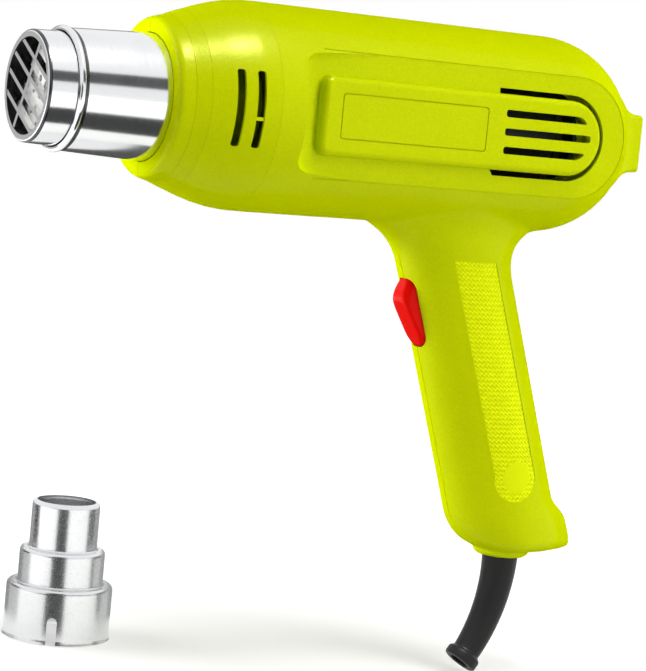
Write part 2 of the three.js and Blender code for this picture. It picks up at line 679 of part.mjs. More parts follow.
function heater() {
  const micaBore = MICA_R - 0.5;
  addPiece('mica_sleeve', ringX([[7, micaBore], [7, MICA_R], [90, MICA_R], [90, micaBore]], 24), mica);
  const frontHoles = [{ count: 1, circle: 0, radius: 2 }, { count: 4, circle: 6, radius: 1.5 },
    { count: 7, circle: 11, radius: 1.7 }];
  addPiece('heater_front_disc', drilledDisc(DISC_FRONT_X, DISC_BACK_X, frontHoles), ceramic);
  addPiece('heater_rear_disc', drilledDisc(84.5, 87.5, [{ count: 6, circle: 9.5, radius: 3.4 }]), ceramic);
  const upright = solid(boxBetween([12.4, -0.7, -FRAME_HALF_HEIGHT], [84.1, 0.7, FRAME_HALF_HEIGHT]));
  const level = solid(boxBetween([12.4, -FRAME_HALF_HEIGHT, -0.7], [84.1, FRAME_HALF_HEIGHT, 0.7]));
  addPiece('heater_frame', geometryOf(upright.add(level)), mica);
  const steps = COIL_TURNS * COIL_STEPS;
  const points = Array.from({ length: steps + 1 }, (_, step) => {
    const angle = 2 * PI * step / COIL_STEPS;
    return new THREE.Vector3(17 + 63 * step / steps, COIL_R * cos(angle), COIL_R * sin(angle));
  });
  const gap = leastGap(points, COIL_STEPS, COIL_WIRE_R);
  console.log('heating coil: least gap between turns, mm:', gap.toFixed(2));
  const rings = points.map((point, step) => {
    const angle = 2 * PI * step / COIL_STEPS;
    const outward = new THREE.Vector3(0, cos(angle), sin(angle));
    return Array.from({ length: 4 }, (_, side) => {
      const turn = 2 * PI * side / 4;
      return point.clone()
        .addScaledVector(outward, COIL_WIRE_R * cos(turn))
        .add(new THREE.Vector3(COIL_WIRE_R * sin(turn), 0, 0));
    });
  });
  addPiece('heating_coil', geometryOf(solid(loft(rings))), heatingWire);
  addPiece('thermal_cutout', rodX(6, 6, 1.8, 60, 69, 10), zinc);
}

// Leads inside the housing follow points chosen by hand, some of them square to the handle's axis.
const handlePoint = (u, y, w) => new THREE.Vector3(u, y, w).applyMatrix4(switchGroup.matrix);

function leadRoutes() {
  return [
    { name: 'lead_feed', material: brownWire, points: [handlePoint(4, 3, -47.2), handlePoint(4.8, 3.2, -45.2),
      handlePoint(9.4, 3.5, -41), handlePoint(11.5, 2.5, -29), handlePoint(14, 0.5, -16),
      handlePoint(13.2, 0, -9.8), handlePoint(10.9, 0, -9)] },
    { name: 'lead_heater', material: brownWire, points: [handlePoint(10.9, 0, 9),
      handlePoint(12.6, -0.3, 9.6), handlePoint(13, -4, 20), new THREE.Vector3(161, -9, -27),
      new THREE.Vector3(140, -16, -22.5), new THREE.Vector3(116, -16.5, -21),
      new THREE.Vector3(104, -13, -16), new THREE.Vector3(93, -7, -8.5)] },
    { name: 'lead_neutral', material: blueWire, points: [handlePoint(-4, 3, -47.2), handlePoint(-4, 3.8, -45),
      handlePoint(-2, 8.6, -38), handlePoint(5, 9.2, -16), handlePoint(8, 9.2, 2), handlePoint(8, 8, 18),
      new THREE.Vector3(160, 9, -27), new THREE.Vector3(140, 16, -22.5), new THREE.Vector3(116, 16.5, -21),
      new THREE.Vector3(104, 13, -16), new THREE.Vector3(93, 7, -8.5)] },
    { name: 'lead_motor', material: brownWire, points: [handlePoint(10.9, 0, 0), handlePoint(12.6, 0.4, 0.5),
      handlePoint(12.5, 4, 14), new THREE.Vector3(168.5, 6, -28.5), new THREE.Vector3(183, 8, -24),
      new THREE.Vector3(193.6, 7, -20), new THREE.Vector3(194.8, 6, -14.5)] },
  ];
}

const leadTube = (route, radius) => tubeAlong(new THREE.CatmullRomCurve3(route.points), radius, 16, 5);

function leads() {
  for (const route of leadRoutes()) {
    addPiece(route.name, geometryOf(solid(leadTube(route, LEAD_R))), route.material);
  }
}

// Funnel that takes the fan's air down to the heater, with a hole for each heater lead.
function airDuct() {
  const profile = [[81, 17.9], [81, 19.4], [96, 19.4], [116, DUCT_R], [137, DUCT_R], [137, DUCT_R - 1.8],
    [116.5, DUCT_R - 1.8], [96.4, 17.9]];
  let duct = solid(ringX(profile, 28));
  for (const route of leadRoutes().filter(({ name }) => name === 'lead_heater' || name === 'lead_neutral')) {
    duct = duct.subtract(solid(leadTube(route, LEAD_R + 0.4)));
  }
  addPiece('air_duct', geometryOf(duct), black);
}

// Twisted blades round a hub.
function fan() {
  const hubFront = FAN_X;
  const hubBack = FAN_X + FAN_LENGTH;
  let impeller = solid(rodX(0, 0, FAN_HUB_R, hubFront, hubBack, 18));
  const bladeRing = (radius, twist) => {
    const half = FAN_LENGTH / 2 - 1;
    const corners = [[-half, -0.6], [half, -0.6], [half, 0.6], [-half, 0.6]];
    return corners.map(([x, y]) => new THREE.Vector3(
      FAN_X + FAN_LENGTH / 2 + x * cos(twist) - y * sin(twist), x * sin(twist) + y * cos(twist), radius));
  };
  for (let blade = 0; blade < FAN_BLADES; blade += 1) {
    const twists = [[FAN_HUB_R - 1, 35], [14, 48], [FAN_R - 0.5, 58]];
    const rings = twists.map(([radius, angle]) => bladeRing(radius, degrees(angle)));
    impeller = impeller.add(solid(loft(rings).rotateX(2 * PI * blade / FAN_BLADES)));
  }
  impeller = impeller.subtract(solid(rodX(0, 0, SHAFT_BORE_R, hubFront - 1, hubBack + 1, 12)));
  addPiece('fan_impeller', geometryOf(impeller), black);
}

function motor() {
  const can = [[MOTOR_X, 4.3], [MOTOR_X, MOTOR_R], [MOTOR_END_X, MOTOR_R], [MOTOR_END_X, MOTOR_R - 0.9],
    [MOTOR_X + 1.2, MOTOR_R - 0.9], [MOTOR_X + 1.2, 4.3]];
  addPiece('motor_can', ringX(can, 24), zinc);
  const capFront = [[MOTOR_END_X - 2, 4.3], [MOTOR_END_X - 2, 16.3], [MOTOR_END_X + 0.4, 16.3]];
  const capBack = [[MOTOR_END_X + 0.4, MOTOR_R], [MOTOR_END_X + 3, MOTOR_R], [MOTOR_END_X + 3, 4.3]];
  addPiece('motor_end_cap', ringX([...capFront, ...capBack], 24), black);
  const bush = (front, back) => ringX(
    [[front, SHAFT_BORE_R], [front, 4], [back, 4], [back, SHAFT_BORE_R]], 12);
  addPiece('motor_front_bush', bush(MOTOR_X - 1, MOTOR_X + 2.5), brass);
  addPiece('motor_rear_bush', bush(MOTOR_END_X - 2.5, MOTOR_END_X + 4), brass);
  for (const [name, turn] of [['motor_magnet_left', PI], ['motor_magnet_right', 0]]) {
    const arc = new THREE.Shape();
    arc.absarc(0, 0, 16.2, -degrees(60), degrees(60));
    arc.absarc(0, 0, 13.2, degrees(60), -degrees(60), true);
    const body = new THREE.ExtrudeGeometry(arc, { depth: 30, bevelEnabled: false, curveSegments: 8 });
    body.rotateZ(turn).rotateY(PI / 2).rotateX(PI / 2).translate(MOTOR_X + 6, 0, 0);
    addPiece(name, geometryOf(solid(body)), magnet);
  }
  addPiece('motor_shaft', rodX(0, 0, SHAFT_R, FAN_X - 2, MOTOR_END_X + 7.5, 12), steel);
  let armature = solid(rodX(0, 0, 12.6, MOTOR_X + 8, MOTOR_X + 34, 20));
  for (let pole = 0; pole < 5; pole += 1) {
    const mouth = boxBetween([MOTOR_X, -0.8, 9], [MOTOR_X + 40, 0.8, 14]).rotateX(2 * PI * pole / 5);
    const pocket = rodX(0, 8, 2.4, MOTOR_X, MOTOR_X + 40, 8).rotateX(2 * PI * pole / 5);
    armature = armature.subtract(solid(mouth).add(solid(pocket)));
  }
  armature = armature.subtract(solid(rodX(0, 0, SHAFT_BORE_R, MOTOR_X, MOTOR_X + 40, 12)));
  addPiece('motor_armature', geometryOf(armature), copper);
  const commutator = [[MOTOR_X + 35.5, SHAFT_BORE_R], [MOTOR_X + 35.5, 4.5], [MOTOR_X + 41.5, 4.5],
    [MOTOR_X + 41.5, SHAFT_BORE_R]];
  addPiece('motor_commutator', ringX(commutator, 16), copper);
  for (const [name, side] of [['motor_brush_top', 1], ['motor_brush_bottom', -1]]) {
    const [low, high] = side > 0 ? [4.9, 11.5] : [-11.5, -4.9];
    addPiece(name, boxBetween([MOTOR_X + 37, -2, low], [MOTOR_X + 40.5, 2, high]), magnet);
  }
  const boardX = MOTOR_END_X + 9;
  addPiece('rectifier_board', rodX(0, 0, DISC_R, boardX, boardX + 1.6, 20), board);
  addPiece('bridge_rectifier', boxBetween([boardX + 1.9, -4.5, -3.5], [boardX + 6, 4.5, 3.5]), black);
}

// Plastic ring with four arms that carries the motor between the housing halves.
function motorCradle() {
  const [front, back] = [MOTOR_X + 9, MOTOR_X + 15];
  const upright = solid(boxBetween([front, -2.5, -30.2], [back, 2.5, 30.2]));
  const level = solid(boxBetween([front, -23.5, -2.5], [back, 23.5, 2.5]));
  const ring = solid(rodX(0, 0, MOTOR_R + 2, front, back, 24));
  const bore = solid(rodX(0, 0, MOTOR_R + GAP, front - 1, back + 1, 24));
  addPiece('motor_cradle', geometryOf(ring.add(upright).add(level).subtract(bore)), black);
}

// Red rocker: a short upper facet, a rounded nose and a long lower facet, turning on a cross pin.
function rocker() {
  const outline = new THREE.Shape();
  outline.moveTo(-10, 9.5);
  outline.lineTo(-17.4, 11.3);
  outline.quadraticCurveTo(-19.2, 11.6, -20.3, 10.3);
  outline.lineTo(-22.4, 7.8);
  outline.quadraticCurveTo(-23.6, 6, -22.9, 3.8);
  outline.lineTo(-19.6, -9.4);
  outline.quadraticCurveTo(-18.6, -11.4, -16.4, -11.2);
  outline.lineTo(-10, -9.5);
  outline.lineTo(-8.4, -3.5);
  outline.lineTo(-7, -0.8);
  outline.lineTo(-5.4, 0.4);
  outline.lineTo(-5.4, 1.4);
  outline.lineTo(-7, 2.4);
  outline.lineTo(-8.4, 4.6);
  const bevel = 0.8;
  const halfDepth = ROCKER_HALF_WIDTH - bevel;
  const round = { bevelThickness: bevel, bevelSize: bevel, bevelOffset: -0.2, bevelSegments: 2 };
  const body = new THREE.ExtrudeGeometry(outline, { depth: 2 * halfDepth, curveSegments: 4, ...round });
  body.rotateX(PI / 2).translate(0, halfDepth, 0);
  const pinHole = solid(rodY(ROCKER_PIVOT, 0, 1.3, -8, 8, 12));
  addPiece('rocker', geometryOf(solid(body).subtract(pinHole)), red, switchGroup);
  addPiece('rocker_pin', rodY(ROCKER_PIVOT, 0, 1, -6.2, 6.2, 12), steel, switchGroup);
}

function switchParts() {
  let body = solid(boxBetween([-14.6, -6.3, -15], [4, 6.3, 15.4]));
  const well = boxBetween([-16, -OPENING_HALF_WIDTH, OPENING_LOW], [-4, OPENING_HALF_WIDTH, OPENING_HIGH]);
  body = body.subtract(solid(well)).subtract(solid(boxBetween([-5, -3.5, -10.6], [0, 3.5, 10.6])));
  body = body.subtract(solid(rodY(ROCKER_PIVOT, 0, 1.3, -8, 8, 12)));
  const terminals = [
    { name: 'switch_terminal_motor', w: 0, inner: -1.6 },
    { name: 'switch_terminal_heater', w: 9, inner: -1 },
    { name: 'switch_terminal_feed', w: -9, inner: -1 },
  ];
  const [halfWidth, halfThickness] = [2.4, 0.4];
  for (const { name, w, inner } of terminals) {
    const blade = boxBetween([inner, -halfWidth, w - halfThickness], [10, halfWidth, w + halfThickness]);
    addPiece(name, blade, brass, switchGroup);
    const slotLow = [-1, -halfWidth - GAP, w - halfThickness - GAP];
    const slotHigh = [6, halfWidth + GAP, w + halfThickness + GAP];
    body = body.subtract(solid(boxBetween(slotLow, slotHigh)));
  }
  addPiece('switch_case', geometryOf(body), black, switchGroup);
  const contact = boxBetween([-0.4, -2.2, -8.3], [0.4, 2.2, 8.3]);
  const contactMesh = addPiece('switch_contact', contact, copper, switchGroup);
  contactMesh.position.x = CONTACT_X;
  contactMesh.rotation.y = CONTACT_SWING / 2;
}

// Parts on the mains side, lower in the handle.
function mainsParts() {
  addPiece('suppression_capacitor', boxBetween([-7, -5.5, -40], [7, 5.5, -24]), blueWire, switchGroup);
  let block = solid(boxBetween([-8, -7, -60], [8, 7, -48]));
  for (const u of [-4, 4]) {
    const bore = new THREE.CylinderGeometry(1.5, 1.5, 20, 10).rotateX(PI / 2).translate(u, -3, -54);
    block = block.subtract(solid(bore));
  }
  addPiece('terminal_block', geometryOf(block), ceramic, switchGroup);
  const [firstPost, lastPost] = CLAMP_POST_XS;
  let bar = solid(boxBetween([firstPost - 4, 3.8, CLAMP_Z - 3], [lastPost + 4, 6.8, CLAMP_Z + 3]));
  for (const x of CLAMP_POST_XS) {
    bar = bar.subtract(solid(rodY(x, CLAMP_Z, 1.6, 0, 10, 12)));
  }
  addPiece('cord_clamp', geometryOf(bar), black);
  CLAMP_POST_XS.forEach((x, i) => {
    const screw = screwGeometry(2.6, 1.9, 1.25, 14);
    addPiece(`cord_clamp_screw_${i + 1}`, screw, zinc).position.set(x, 6.8 + GAP, CLAMP_Z);
  });
}

// A ring of the boot, which runs straight down through the gland and then bends forwards.
function bootRing(along, radius, sides) {
  const turn = Math.max(along - BOOT_STRAIGHT, 0) / BOOT_BEND_R;
  const x = GLAND_X - BOOT_BEND_R * (1 - cos(turn));
  const z = BOOT_HEAD_Z - Math.min(along, BOOT_STRAIGHT) - BOOT_BEND_R * sin(turn);
  const forward = new THREE.Vector3(-cos(turn), 0, sin(turn));
  return Array.from({ length: sides }, (_, side) => {
    const angle = 2 * PI * side / sides;
    return new THREE.Vector3(x, radius * sin(angle), z).addScaledVector(forward, radius * cos(angle));
  });
}

function cordBoot() {
  const lipAt = BOOT_LENGTH - BOOT_LIP_LENGTH;
  const head = [[0, BOOT_HEAD_R], [BOOT_HEAD_HEIGHT, BOOT_HEAD_R], [BOOT_HEAD_HEIGHT + 0.01, BOOT_R]];
  const taper = Array.from({ length: 9 }, (_, step) => {
    const t = step / 8;
    return [BOOT_STRAIGHT + t * (lipAt - 1 - BOOT_STRAIGHT), BOOT_R + t * (BOOT_TIP_R - BOOT_R)];
  });
  const lip = [[lipAt, BOOT_LIP_R - 0.4], [lipAt + 0.6, BOOT_LIP_R], [BOOT_LENGTH - 0.6, BOOT_LIP_R],
    [BOOT_LENGTH, BOOT_LIP_R - 0.6]];
  const stations = [...head, ...taper, ...lip];
  const outside = loft(stations.map(([along, radius]) => bootRing(along, radius, 16)));
  const boreStations = Array.from({ length: 9 }, (_, i) => -2 + i * (BOOT_LENGTH + 4) / 8);
  const bore = loft(boreStations.map((along) => bootRing(along, BOOT_BORE_R, 8)));
  addPiece('cord_boot', geometryOf(solid(outside).subtract(solid(bore))), rubber);
}

// Step-down nozzle: three drawn steps with rounded shoulders, a flared lip and slots in its springy skirt.
function reducerNozzle() {
  const thin = REDUCER_SHEET;
  const edge = REDUCER_EDGE_R;
  const outside = [[0, REDUCER_SKIRT_R + REDUCER_LIP], [1, REDUCER_SKIRT_R]];
  const inside = [[0, REDUCER_SKIRT_R + REDUCER_LIP - thin], [1, REDUCER_SKIRT_R - thin]];
  const shoulders = [
    [REDUCER_SKIRT_HEIGHT, REDUCER_SKIRT_R, REDUCER_MIDDLE_R],
    [REDUCER_MIDDLE_TOP, REDUCER_MIDDLE_R, REDUCER_SPOUT_R],
    [REDUCER_HEIGHT, REDUCER_SPOUT_R, REDUCER_MOUTH_R],
  ];
  for (const [top, wide, narrow] of shoulders) {
    const inner = Math.max(narrow - thin, REDUCER_MOUTH_R);
    outside.push([top - edge, wide], [top - 0.3 * edge, wide - 0.3 * edge]);
    outside.push([top, wide - edge], [top, narrow]);
    inside.push([top - edge - thin, wide - thin], [top - thin, wide - edge - thin], [top - thin, inner]);
  }
  const profile = [...outside, ...inside.reverse()];
  let nozzle = solid(turnedZ([...profile, profile[0]], 32));
  for (let i = 0; i < REDUCER_SLOTS; i += 1) {
    const half = REDUCER_SLOT_WIDTH / 2;
    const slot = new THREE.Shape();
    slot.moveTo(-half, -2);
    slot.lineTo(half, -2);
    slot.absarc(0, REDUCER_SLOT_HEIGHT - half, half, 0, PI);
    const cut = new THREE.ExtrudeGeometry(slot, { depth: 30, bevelEnabled: false, curveSegments: 6 });
    cut.rotateX(PI / 2).rotateZ(PI / 2 + REDUCER_FACING + 2 * PI * i / REDUCER_SLOTS);
    nozzle = nozzle.subtract(solid(cut));
  }
  addPiece('reducer_nozzle', geometryOf(nozzle), steel).position.set(REDUCER_X, REDUCER_Y, FLOOR_Z);
}

housingHalves();
namePlates();
screws();
barrel();
outletGuard();
heater();
airDuct();
fan();
motor();
motorCradle();
rocker();
switchParts();
leads();
mainsParts();
cordBoot();
reducerNozzle();

export default tool;
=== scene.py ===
from functools import partial
from math import atan, atan2, cos, pi, radians, sin, sqrt, tan

import bmesh
import bpy
from mathutils import Matrix, Vector


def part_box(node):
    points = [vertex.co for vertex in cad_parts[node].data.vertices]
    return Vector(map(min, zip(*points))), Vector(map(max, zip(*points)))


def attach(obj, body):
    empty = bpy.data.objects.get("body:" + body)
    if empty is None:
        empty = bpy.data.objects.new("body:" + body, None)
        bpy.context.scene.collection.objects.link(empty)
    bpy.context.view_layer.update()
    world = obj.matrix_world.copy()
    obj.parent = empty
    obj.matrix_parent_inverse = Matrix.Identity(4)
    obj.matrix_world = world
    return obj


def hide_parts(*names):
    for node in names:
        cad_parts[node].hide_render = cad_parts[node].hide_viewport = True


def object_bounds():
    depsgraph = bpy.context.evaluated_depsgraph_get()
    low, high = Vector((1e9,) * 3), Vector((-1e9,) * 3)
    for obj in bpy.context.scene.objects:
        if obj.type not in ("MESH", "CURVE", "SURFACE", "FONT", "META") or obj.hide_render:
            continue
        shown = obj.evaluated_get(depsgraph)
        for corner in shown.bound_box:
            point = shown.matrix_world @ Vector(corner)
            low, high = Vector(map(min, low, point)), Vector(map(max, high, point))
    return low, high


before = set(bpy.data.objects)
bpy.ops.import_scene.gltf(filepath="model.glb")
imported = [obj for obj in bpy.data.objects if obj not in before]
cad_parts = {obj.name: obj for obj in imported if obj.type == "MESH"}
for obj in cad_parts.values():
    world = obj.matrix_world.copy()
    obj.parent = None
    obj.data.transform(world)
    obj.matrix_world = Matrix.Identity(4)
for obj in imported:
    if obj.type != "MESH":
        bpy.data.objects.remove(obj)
cad_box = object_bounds()
bpy.context.scene.view_settings.view_transform = "Standard"


# Camera
# A long lens stands at the tool's front left, level with the barrel, tipped down and leaned to one side.
# Its place is in millimetres from the middle of the barrel's mouth, as every piece below is drawn.
sleeve_low, sleeve_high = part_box("nozzle_sleeve")
BARREL_MOUTH = Vector((sleeve_low.x, 0, (sleeve_low.z + sleeve_high.z) / 2))
LENS_PLACE = Vector((-291.5, -673.86, 0))
LENS_TURN, LENS_TIP, LENS_LEAN = radians(30.94), radians(5.25), radians(5.48)
PICTURE_HEIGHT = 671
FOCAL_LENGTH = 2400

sideways = Vector((cos(LENS_TURN), -sin(LENS_TURN), 0))
ahead = Vector((sin(LENS_TURN), cos(LENS_TURN), 0))
forward = ahead * cos(LENS_TIP) - Vector((0, 0, sin(LENS_TIP)))
down = -ahead * sin(LENS_TIP) - Vector((0, 0, cos(LENS_TIP)))
right = sideways * cos(LENS_LEAN) - down * sin(LENS_LEAN)
up = -sideways * sin(LENS_LEAN) - down * cos(LENS_LEAN)
bpy.ops.object.camera_add(location=BARREL_MOUTH + LENS_PLACE / 1000)
camera = bpy.context.object
camera.rotation_euler = Matrix((right, up, -forward)).transposed().to_euler()
camera.data.sensor_width = 36
camera.data.lens = camera.data.sensor_width * FOCAL_LENGTH / PICTURE_HEIGHT
bpy.context.scene.camera = camera


# Floor and light
# A plain white floor that runs into a white surround, under six soft boxes that light and one small lamp
# that only gleams. Cards from black to white, which only reflections see, draw the bands in the steel.
FLOOR_Z = cad_box[0].z - 0.0004
ROOM_LIGHT = 0.015
FLOOR_NEAR, FLOOR_FAR = 0.12, 0.6
FLOOR_LIFT = 0.5


def paint(name):
    """A new material, with its nodes, its links and its shader."""
    material = bpy.data.materials.new(name)
    material.use_nodes = True
    tree = material.node_tree
    return material, tree.nodes, tree.links, tree.nodes["Principled BSDF"]


def dial(node, settings):
    """Sets some of a node's inputs by their names."""
    for socket, value in settings.items():
        node.inputs[socket].default_value = value


def reckon(nodes, links, operation, *values):
    """One step of arithmetic on numbers and on other nodes' values."""
    step = nodes.new("ShaderNodeMath")
    step.operation = operation
    for socket, value in zip(step.inputs, values):
        if isinstance(value, bpy.types.NodeSocket):
            links.new(value, socket)
        else:
            socket.default_value = value
    return step.outputs[0]


def ramp(nodes, links, value, start, end, low=0, high=1):
    """Runs from start to end while a value runs from low to high."""
    node = nodes.new("ShaderNodeMapRange")
    dial(node, {"From Min": low, "From Max": high, "To Min": start, "To Max": end})
    links.new(value, node.inputs["Value"])
    return node.outputs["Result"]


def seen_directly(nodes, links):
    """1 where the lens, a reflection or a clear piece looks, and 0 for the light that falls on things."""
    path = nodes.new("ShaderNodeLightPath").outputs
    by_lens = reckon(nodes, links, "MAXIMUM", path["Is Camera Ray"], path["Is Glossy Ray"])
    return reckon(nodes, links, "MAXIMUM", by_lens, path["Is Transmission Ray"])


def let_go():
    """Leaves nothing selected."""
    bpy.ops.object.select_all(action="DESELECT")


def take_all():
    """Selects all of the piece in edit mode."""
    bpy.ops.mesh.select_all(action="SELECT")


WHITE, BLACK = (1, 1, 1, 1), (0, 0, 0, 1)
world = bpy.data.worlds.new("white_room")
bpy.context.scene.world = world
world.use_nodes = True
nodes, links = world.node_tree.nodes, world.node_tree.links
room = nodes["Background"]
dial(room, {"Color": WHITE})
links.new(ramp(nodes, links, seen_directly(nodes, links), ROOM_LIGHT, 1), room.inputs["Strength"])

let_go()
bpy.ops.mesh.primitive_plane_add(size=14, location=(0, 0, FLOOR_Z))
floor = bpy.context.object
floor.name = "floor"
white_floor, nodes, links, shader = paint("white_floor")
dial(shader, {"Base Color": (0.66, 0.66, 0.66, 1), "Roughness": 1})
dial(shader, {"Specular IOR Level": 0, "Emission Color": WHITE})
place = nodes.new("ShaderNodeTexCoord")
reach = nodes.new("ShaderNodeVectorMath")
reach.operation = "LENGTH"
links.new(place.outputs["Object"], reach.inputs[0])
fade = ramp(nodes, links, reach.outputs["Value"], FLOOR_LIFT, 1, FLOOR_NEAR, FLOOR_FAR)
fade.node.interpolation_type = "SMOOTHSTEP"
lift = reckon(nodes, links, "MULTIPLY", seen_directly(nodes, links), fade)
links.new(lift, shader.inputs["Emission Strength"])
floor.data.materials.append(white_floor)

# Each lamp's place, size and power.
SOFT_BOXES = {
    "soft_box_top": ((0.1, -0.3, 1.05), 0.45, 5.9),
    "soft_box_front": ((-1.05, 0.1, 0.25), 0.7, 3.5),
    "soft_box_behind": ((-0.85, 0.6, 0.15), 0.7, 12.2),
    "soft_box_lens": ((0.35, -1.1, 0.15), 0.7, 6.2),
    "soft_box_tail": ((1.1, -0.2, 0.05), 0.5, 2.6),
    "soft_box_right": ((0.45, -0.75, 0.75), 0.5, 3.7),
    "gleam_lamp": ((-0.07, -0.39, 1.03), 0.14, 30),
}
for name, (place, size, power) in SOFT_BOXES.items():
    bpy.ops.object.light_add(type="AREA", location=place)
    lamp = bpy.context.object
    lamp.name = name
    lamp.data.size = size
    lamp.data.energy = power
    lamp.rotation_euler = Vector(place).to_track_quat("Z", "Y").to_euler()
    lamp.visible_glossy = name == "gleam_lamp"
    lamp.visible_diffuse = not lamp.visible_glossy


def show_only_in_gloss(card, tone, back):
    """A card that shows only in reflections, in one grey on its face and another on its back."""
    card_paint, nodes, links, shader = paint(card.name)
    dial(shader, {"Base Color": BLACK, "Specular IOR Level": 0, "Emission Color": WHITE})
    side = nodes.new("ShaderNodeNewGeometry")
    grey = ramp(nodes, links, side.outputs["Backfacing"], tone, back)
    links.new(grey, shader.inputs["Emission Strength"])
    card.data.materials.append(card_paint)
    card.visible_camera = False
    card.visible_diffuse = False
    card.visible_shadow = False
    card.visible_transmission = False


UPRIGHT, LEVEL, ACROSS_NOSE = (pi / 2, 0, 0), (0, 0, 0), (pi / 2, 0, radians(-49))
LOW_Z = -0.045
# Each flat card's place, size, turn and grey.
FLAT_CARDS = {
    "card_left_side": ((0.4, -1.0, 0.585), (2.2, 0.47), UPRIGHT, 0.09),
    "card_low_left": ((0.025, -0.115, LOW_Z), (0.55, 0.13), LEVEL, 0.06),
    "card_low_right": ((0.14, 0.41, LOW_Z), (0.46, 0.82), LEVEL, 0.09),
    "card_behind": ((0.45, 1.0, 0.3), (1.6, 0.4), UPRIGHT, 0.3),
    "card_for_rim": ((-0.52, 0.73, 0.05), (0.7, 0.4), UPRIGHT, 0.5),
    "card_for_edge": ((-0.81, -0.55, 0.0), (0.8, 0.45), ACROSS_NOSE, 0.05),
    "card_over_nozzle": ((-0.115, 0.0715, -0.05), (0.13, 0.13), LEVEL, 1),
}
for name, (place, size, tilt, tone) in FLAT_CARDS.items():
    let_go()
    bpy.ops.mesh.primitive_plane_add(size=1, location=place, rotation=tilt)
    sheet = bpy.context.object
    sheet.name = name
    sheet.scale = (*size, 1)
    show_only_in_gloss(sheet, tone, 1 if tilt == LEVEL else tone)

# Bent cards that stand on the floor round the small nozzle, each from one angle to another about the line to
# the lens, so far off, so high and so grey.
nozzle_low, nozzle_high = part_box("reducer_nozzle")
nozzle_middle = (nozzle_low + nozzle_high) / 2
to_lens = Vector((camera.location.x - nozzle_middle.x, camera.location.y - nozzle_middle.y))
lens_angle = atan2(to_lens.y, to_lens.x)
BENT_CARDS = {
    "card_nozzle_middle": (-21, 10, 0.035, 0.05, 0.07),
    "card_spout_left_edge": (-163, -119, 0.06, 0.05, 0.4),
    "card_spout_left": (-118, -88, 0.06, 0.05, 0.06),
    "card_spout_right": (78, 112, 0.06, 0.05, 0.16),
    "card_spout_right_edge": (113, 163, 0.06, 0.05, 0.4),
    "card_skirt_left_edge": (-160, -113, 0.045, 0.026, 0.3),
    "card_skirt_left": (-112, -79, 0.045, 0.026, 0.58),
    "card_skirt_right": (84, 113, 0.045, 0.026, 0.62),
    "card_skirt_right_edge": (114, 160, 0.045, 0.026, 0.36),
}
MIDDLE = (0, 0, 0)
for name, (angle, last_angle, off, high, tone) in BENT_CARDS.items():
    let_go()
    bpy.ops.mesh.primitive_plane_add(size=1)
    sheet = bpy.context.object
    sheet.name = name
    bpy.ops.object.mode_set(mode="EDIT")
    take_all()
    bpy.ops.mesh.merge(type="CENTER")
    bpy.ops.mesh.extrude_region_move(TRANSFORM_OT_translate={"value": (0, 0, high)})
    take_all()
    bpy.ops.transform.translate(value=(off, 0, FLOOR_Z))
    bpy.ops.transform.rotate(value=-lens_angle - radians(angle), orient_axis="Z", center_override=MIDDLE)
    bpy.ops.mesh.spin(steps=16, angle=-radians(last_angle - angle), center=MIDDLE, axis=(0, 0, 1))
    take_all()
    bpy.ops.transform.translate(value=(nozzle_middle.x, nozzle_middle.y, 0))
    bpy.ops.object.mode_set(mode="OBJECT")
    show_only_in_gloss(sheet, tone, tone)


# Housing halves
# Two lime plastic clamshells, injection moulded and screwed together along the middle of the tool.
# Body and handle run into each other in one soft sweep; scoop, raised panel, slots and vents are crisp.
BODY_R = 33.4
WALL = 2.6
BORE_R = BODY_R - WALL
DOME_X = 186.5
COLLAR_X = 39.7
HALF_GAP = 0.1
SOFTNESS = 0.7
RAKE = radians(19.2)
HANDLE_TOP_X, HANDLE_DEPTH, HANDLE_SIDE, HANDLE_FOOT_Z = 144.55, 21, 15.8, -143.2
FLARE_TOP_Z, FRONT_FLARE, REAR_FLARE, SIDE_FLARE = -26, 13.5, 16, 14
TOE_R, FOOT_EDGE_R = 13, 4
HEEL_TOP_Z, HEEL_LOW_Z, HEEL_REACH, HEEL_SLOPE = -124.5, -133, 4.4, 0.05
TAIL_X, TAIL_HALF_Z, TAIL_HALF_Y, GLAND_X = 225.2, 9.8, 12.5, 192.5
SCOOP_Y, SCOOP_FRONT_X, SCOOP_END_X, SCOOP_HALF = 26.5, 79.5, 232, 20
CLEAR_Y = 45
PANEL_Y, PANEL_FRONT_X, PANEL_END_X, PANEL_Z, PANEL_R = 30.4, 87.3, 182.3, -0.3, 12
# Where each screw goes in along and up the side, and how far out its head sits.
SCREW_PLACES = {
    "screw_top_front": (100, 27.4, 10),
    "screw_top_rear": (166, 27.4, 10),
    "screw_bottom_front": (100, -27.4, 10),
    "screw_tail": (207, 16.5, 10),
    "screw_handle_top": (157, -36.5, 8),
    "screw_handle_bottom": (187.5, -120, 8),
}
BOSS_R, PILOT_R, SCREW_BORE_R = 3.3, 1.95, 3.4


def handle_x(z):
    """Where the handle's raked axis is at a height."""
    return HANDLE_TOP_X - z * tan(RAKE)


def take(piece):
    """Selects one piece alone and makes it the one in hand."""
    let_go()
    piece.select_set(True)
    bpy.context.view_layer.objects.active = piece


def start_piece(name):
    """Takes the primitive just added as a new piece, with its place in its mesh, open in edit mode."""
    piece = bpy.context.object
    piece.name = name
    bpy.ops.object.transform_apply()
    bpy.ops.object.mode_set(mode="EDIT")
    take_all()
    return piece


def end_piece():
    """Closes seams, turns faces outwards and leaves edit mode."""
    take_all()
    bpy.ops.mesh.remove_doubles(threshold=0.0005)
    bpy.ops.mesh.normals_make_consistent()
    bpy.ops.object.mode_set(mode="OBJECT")


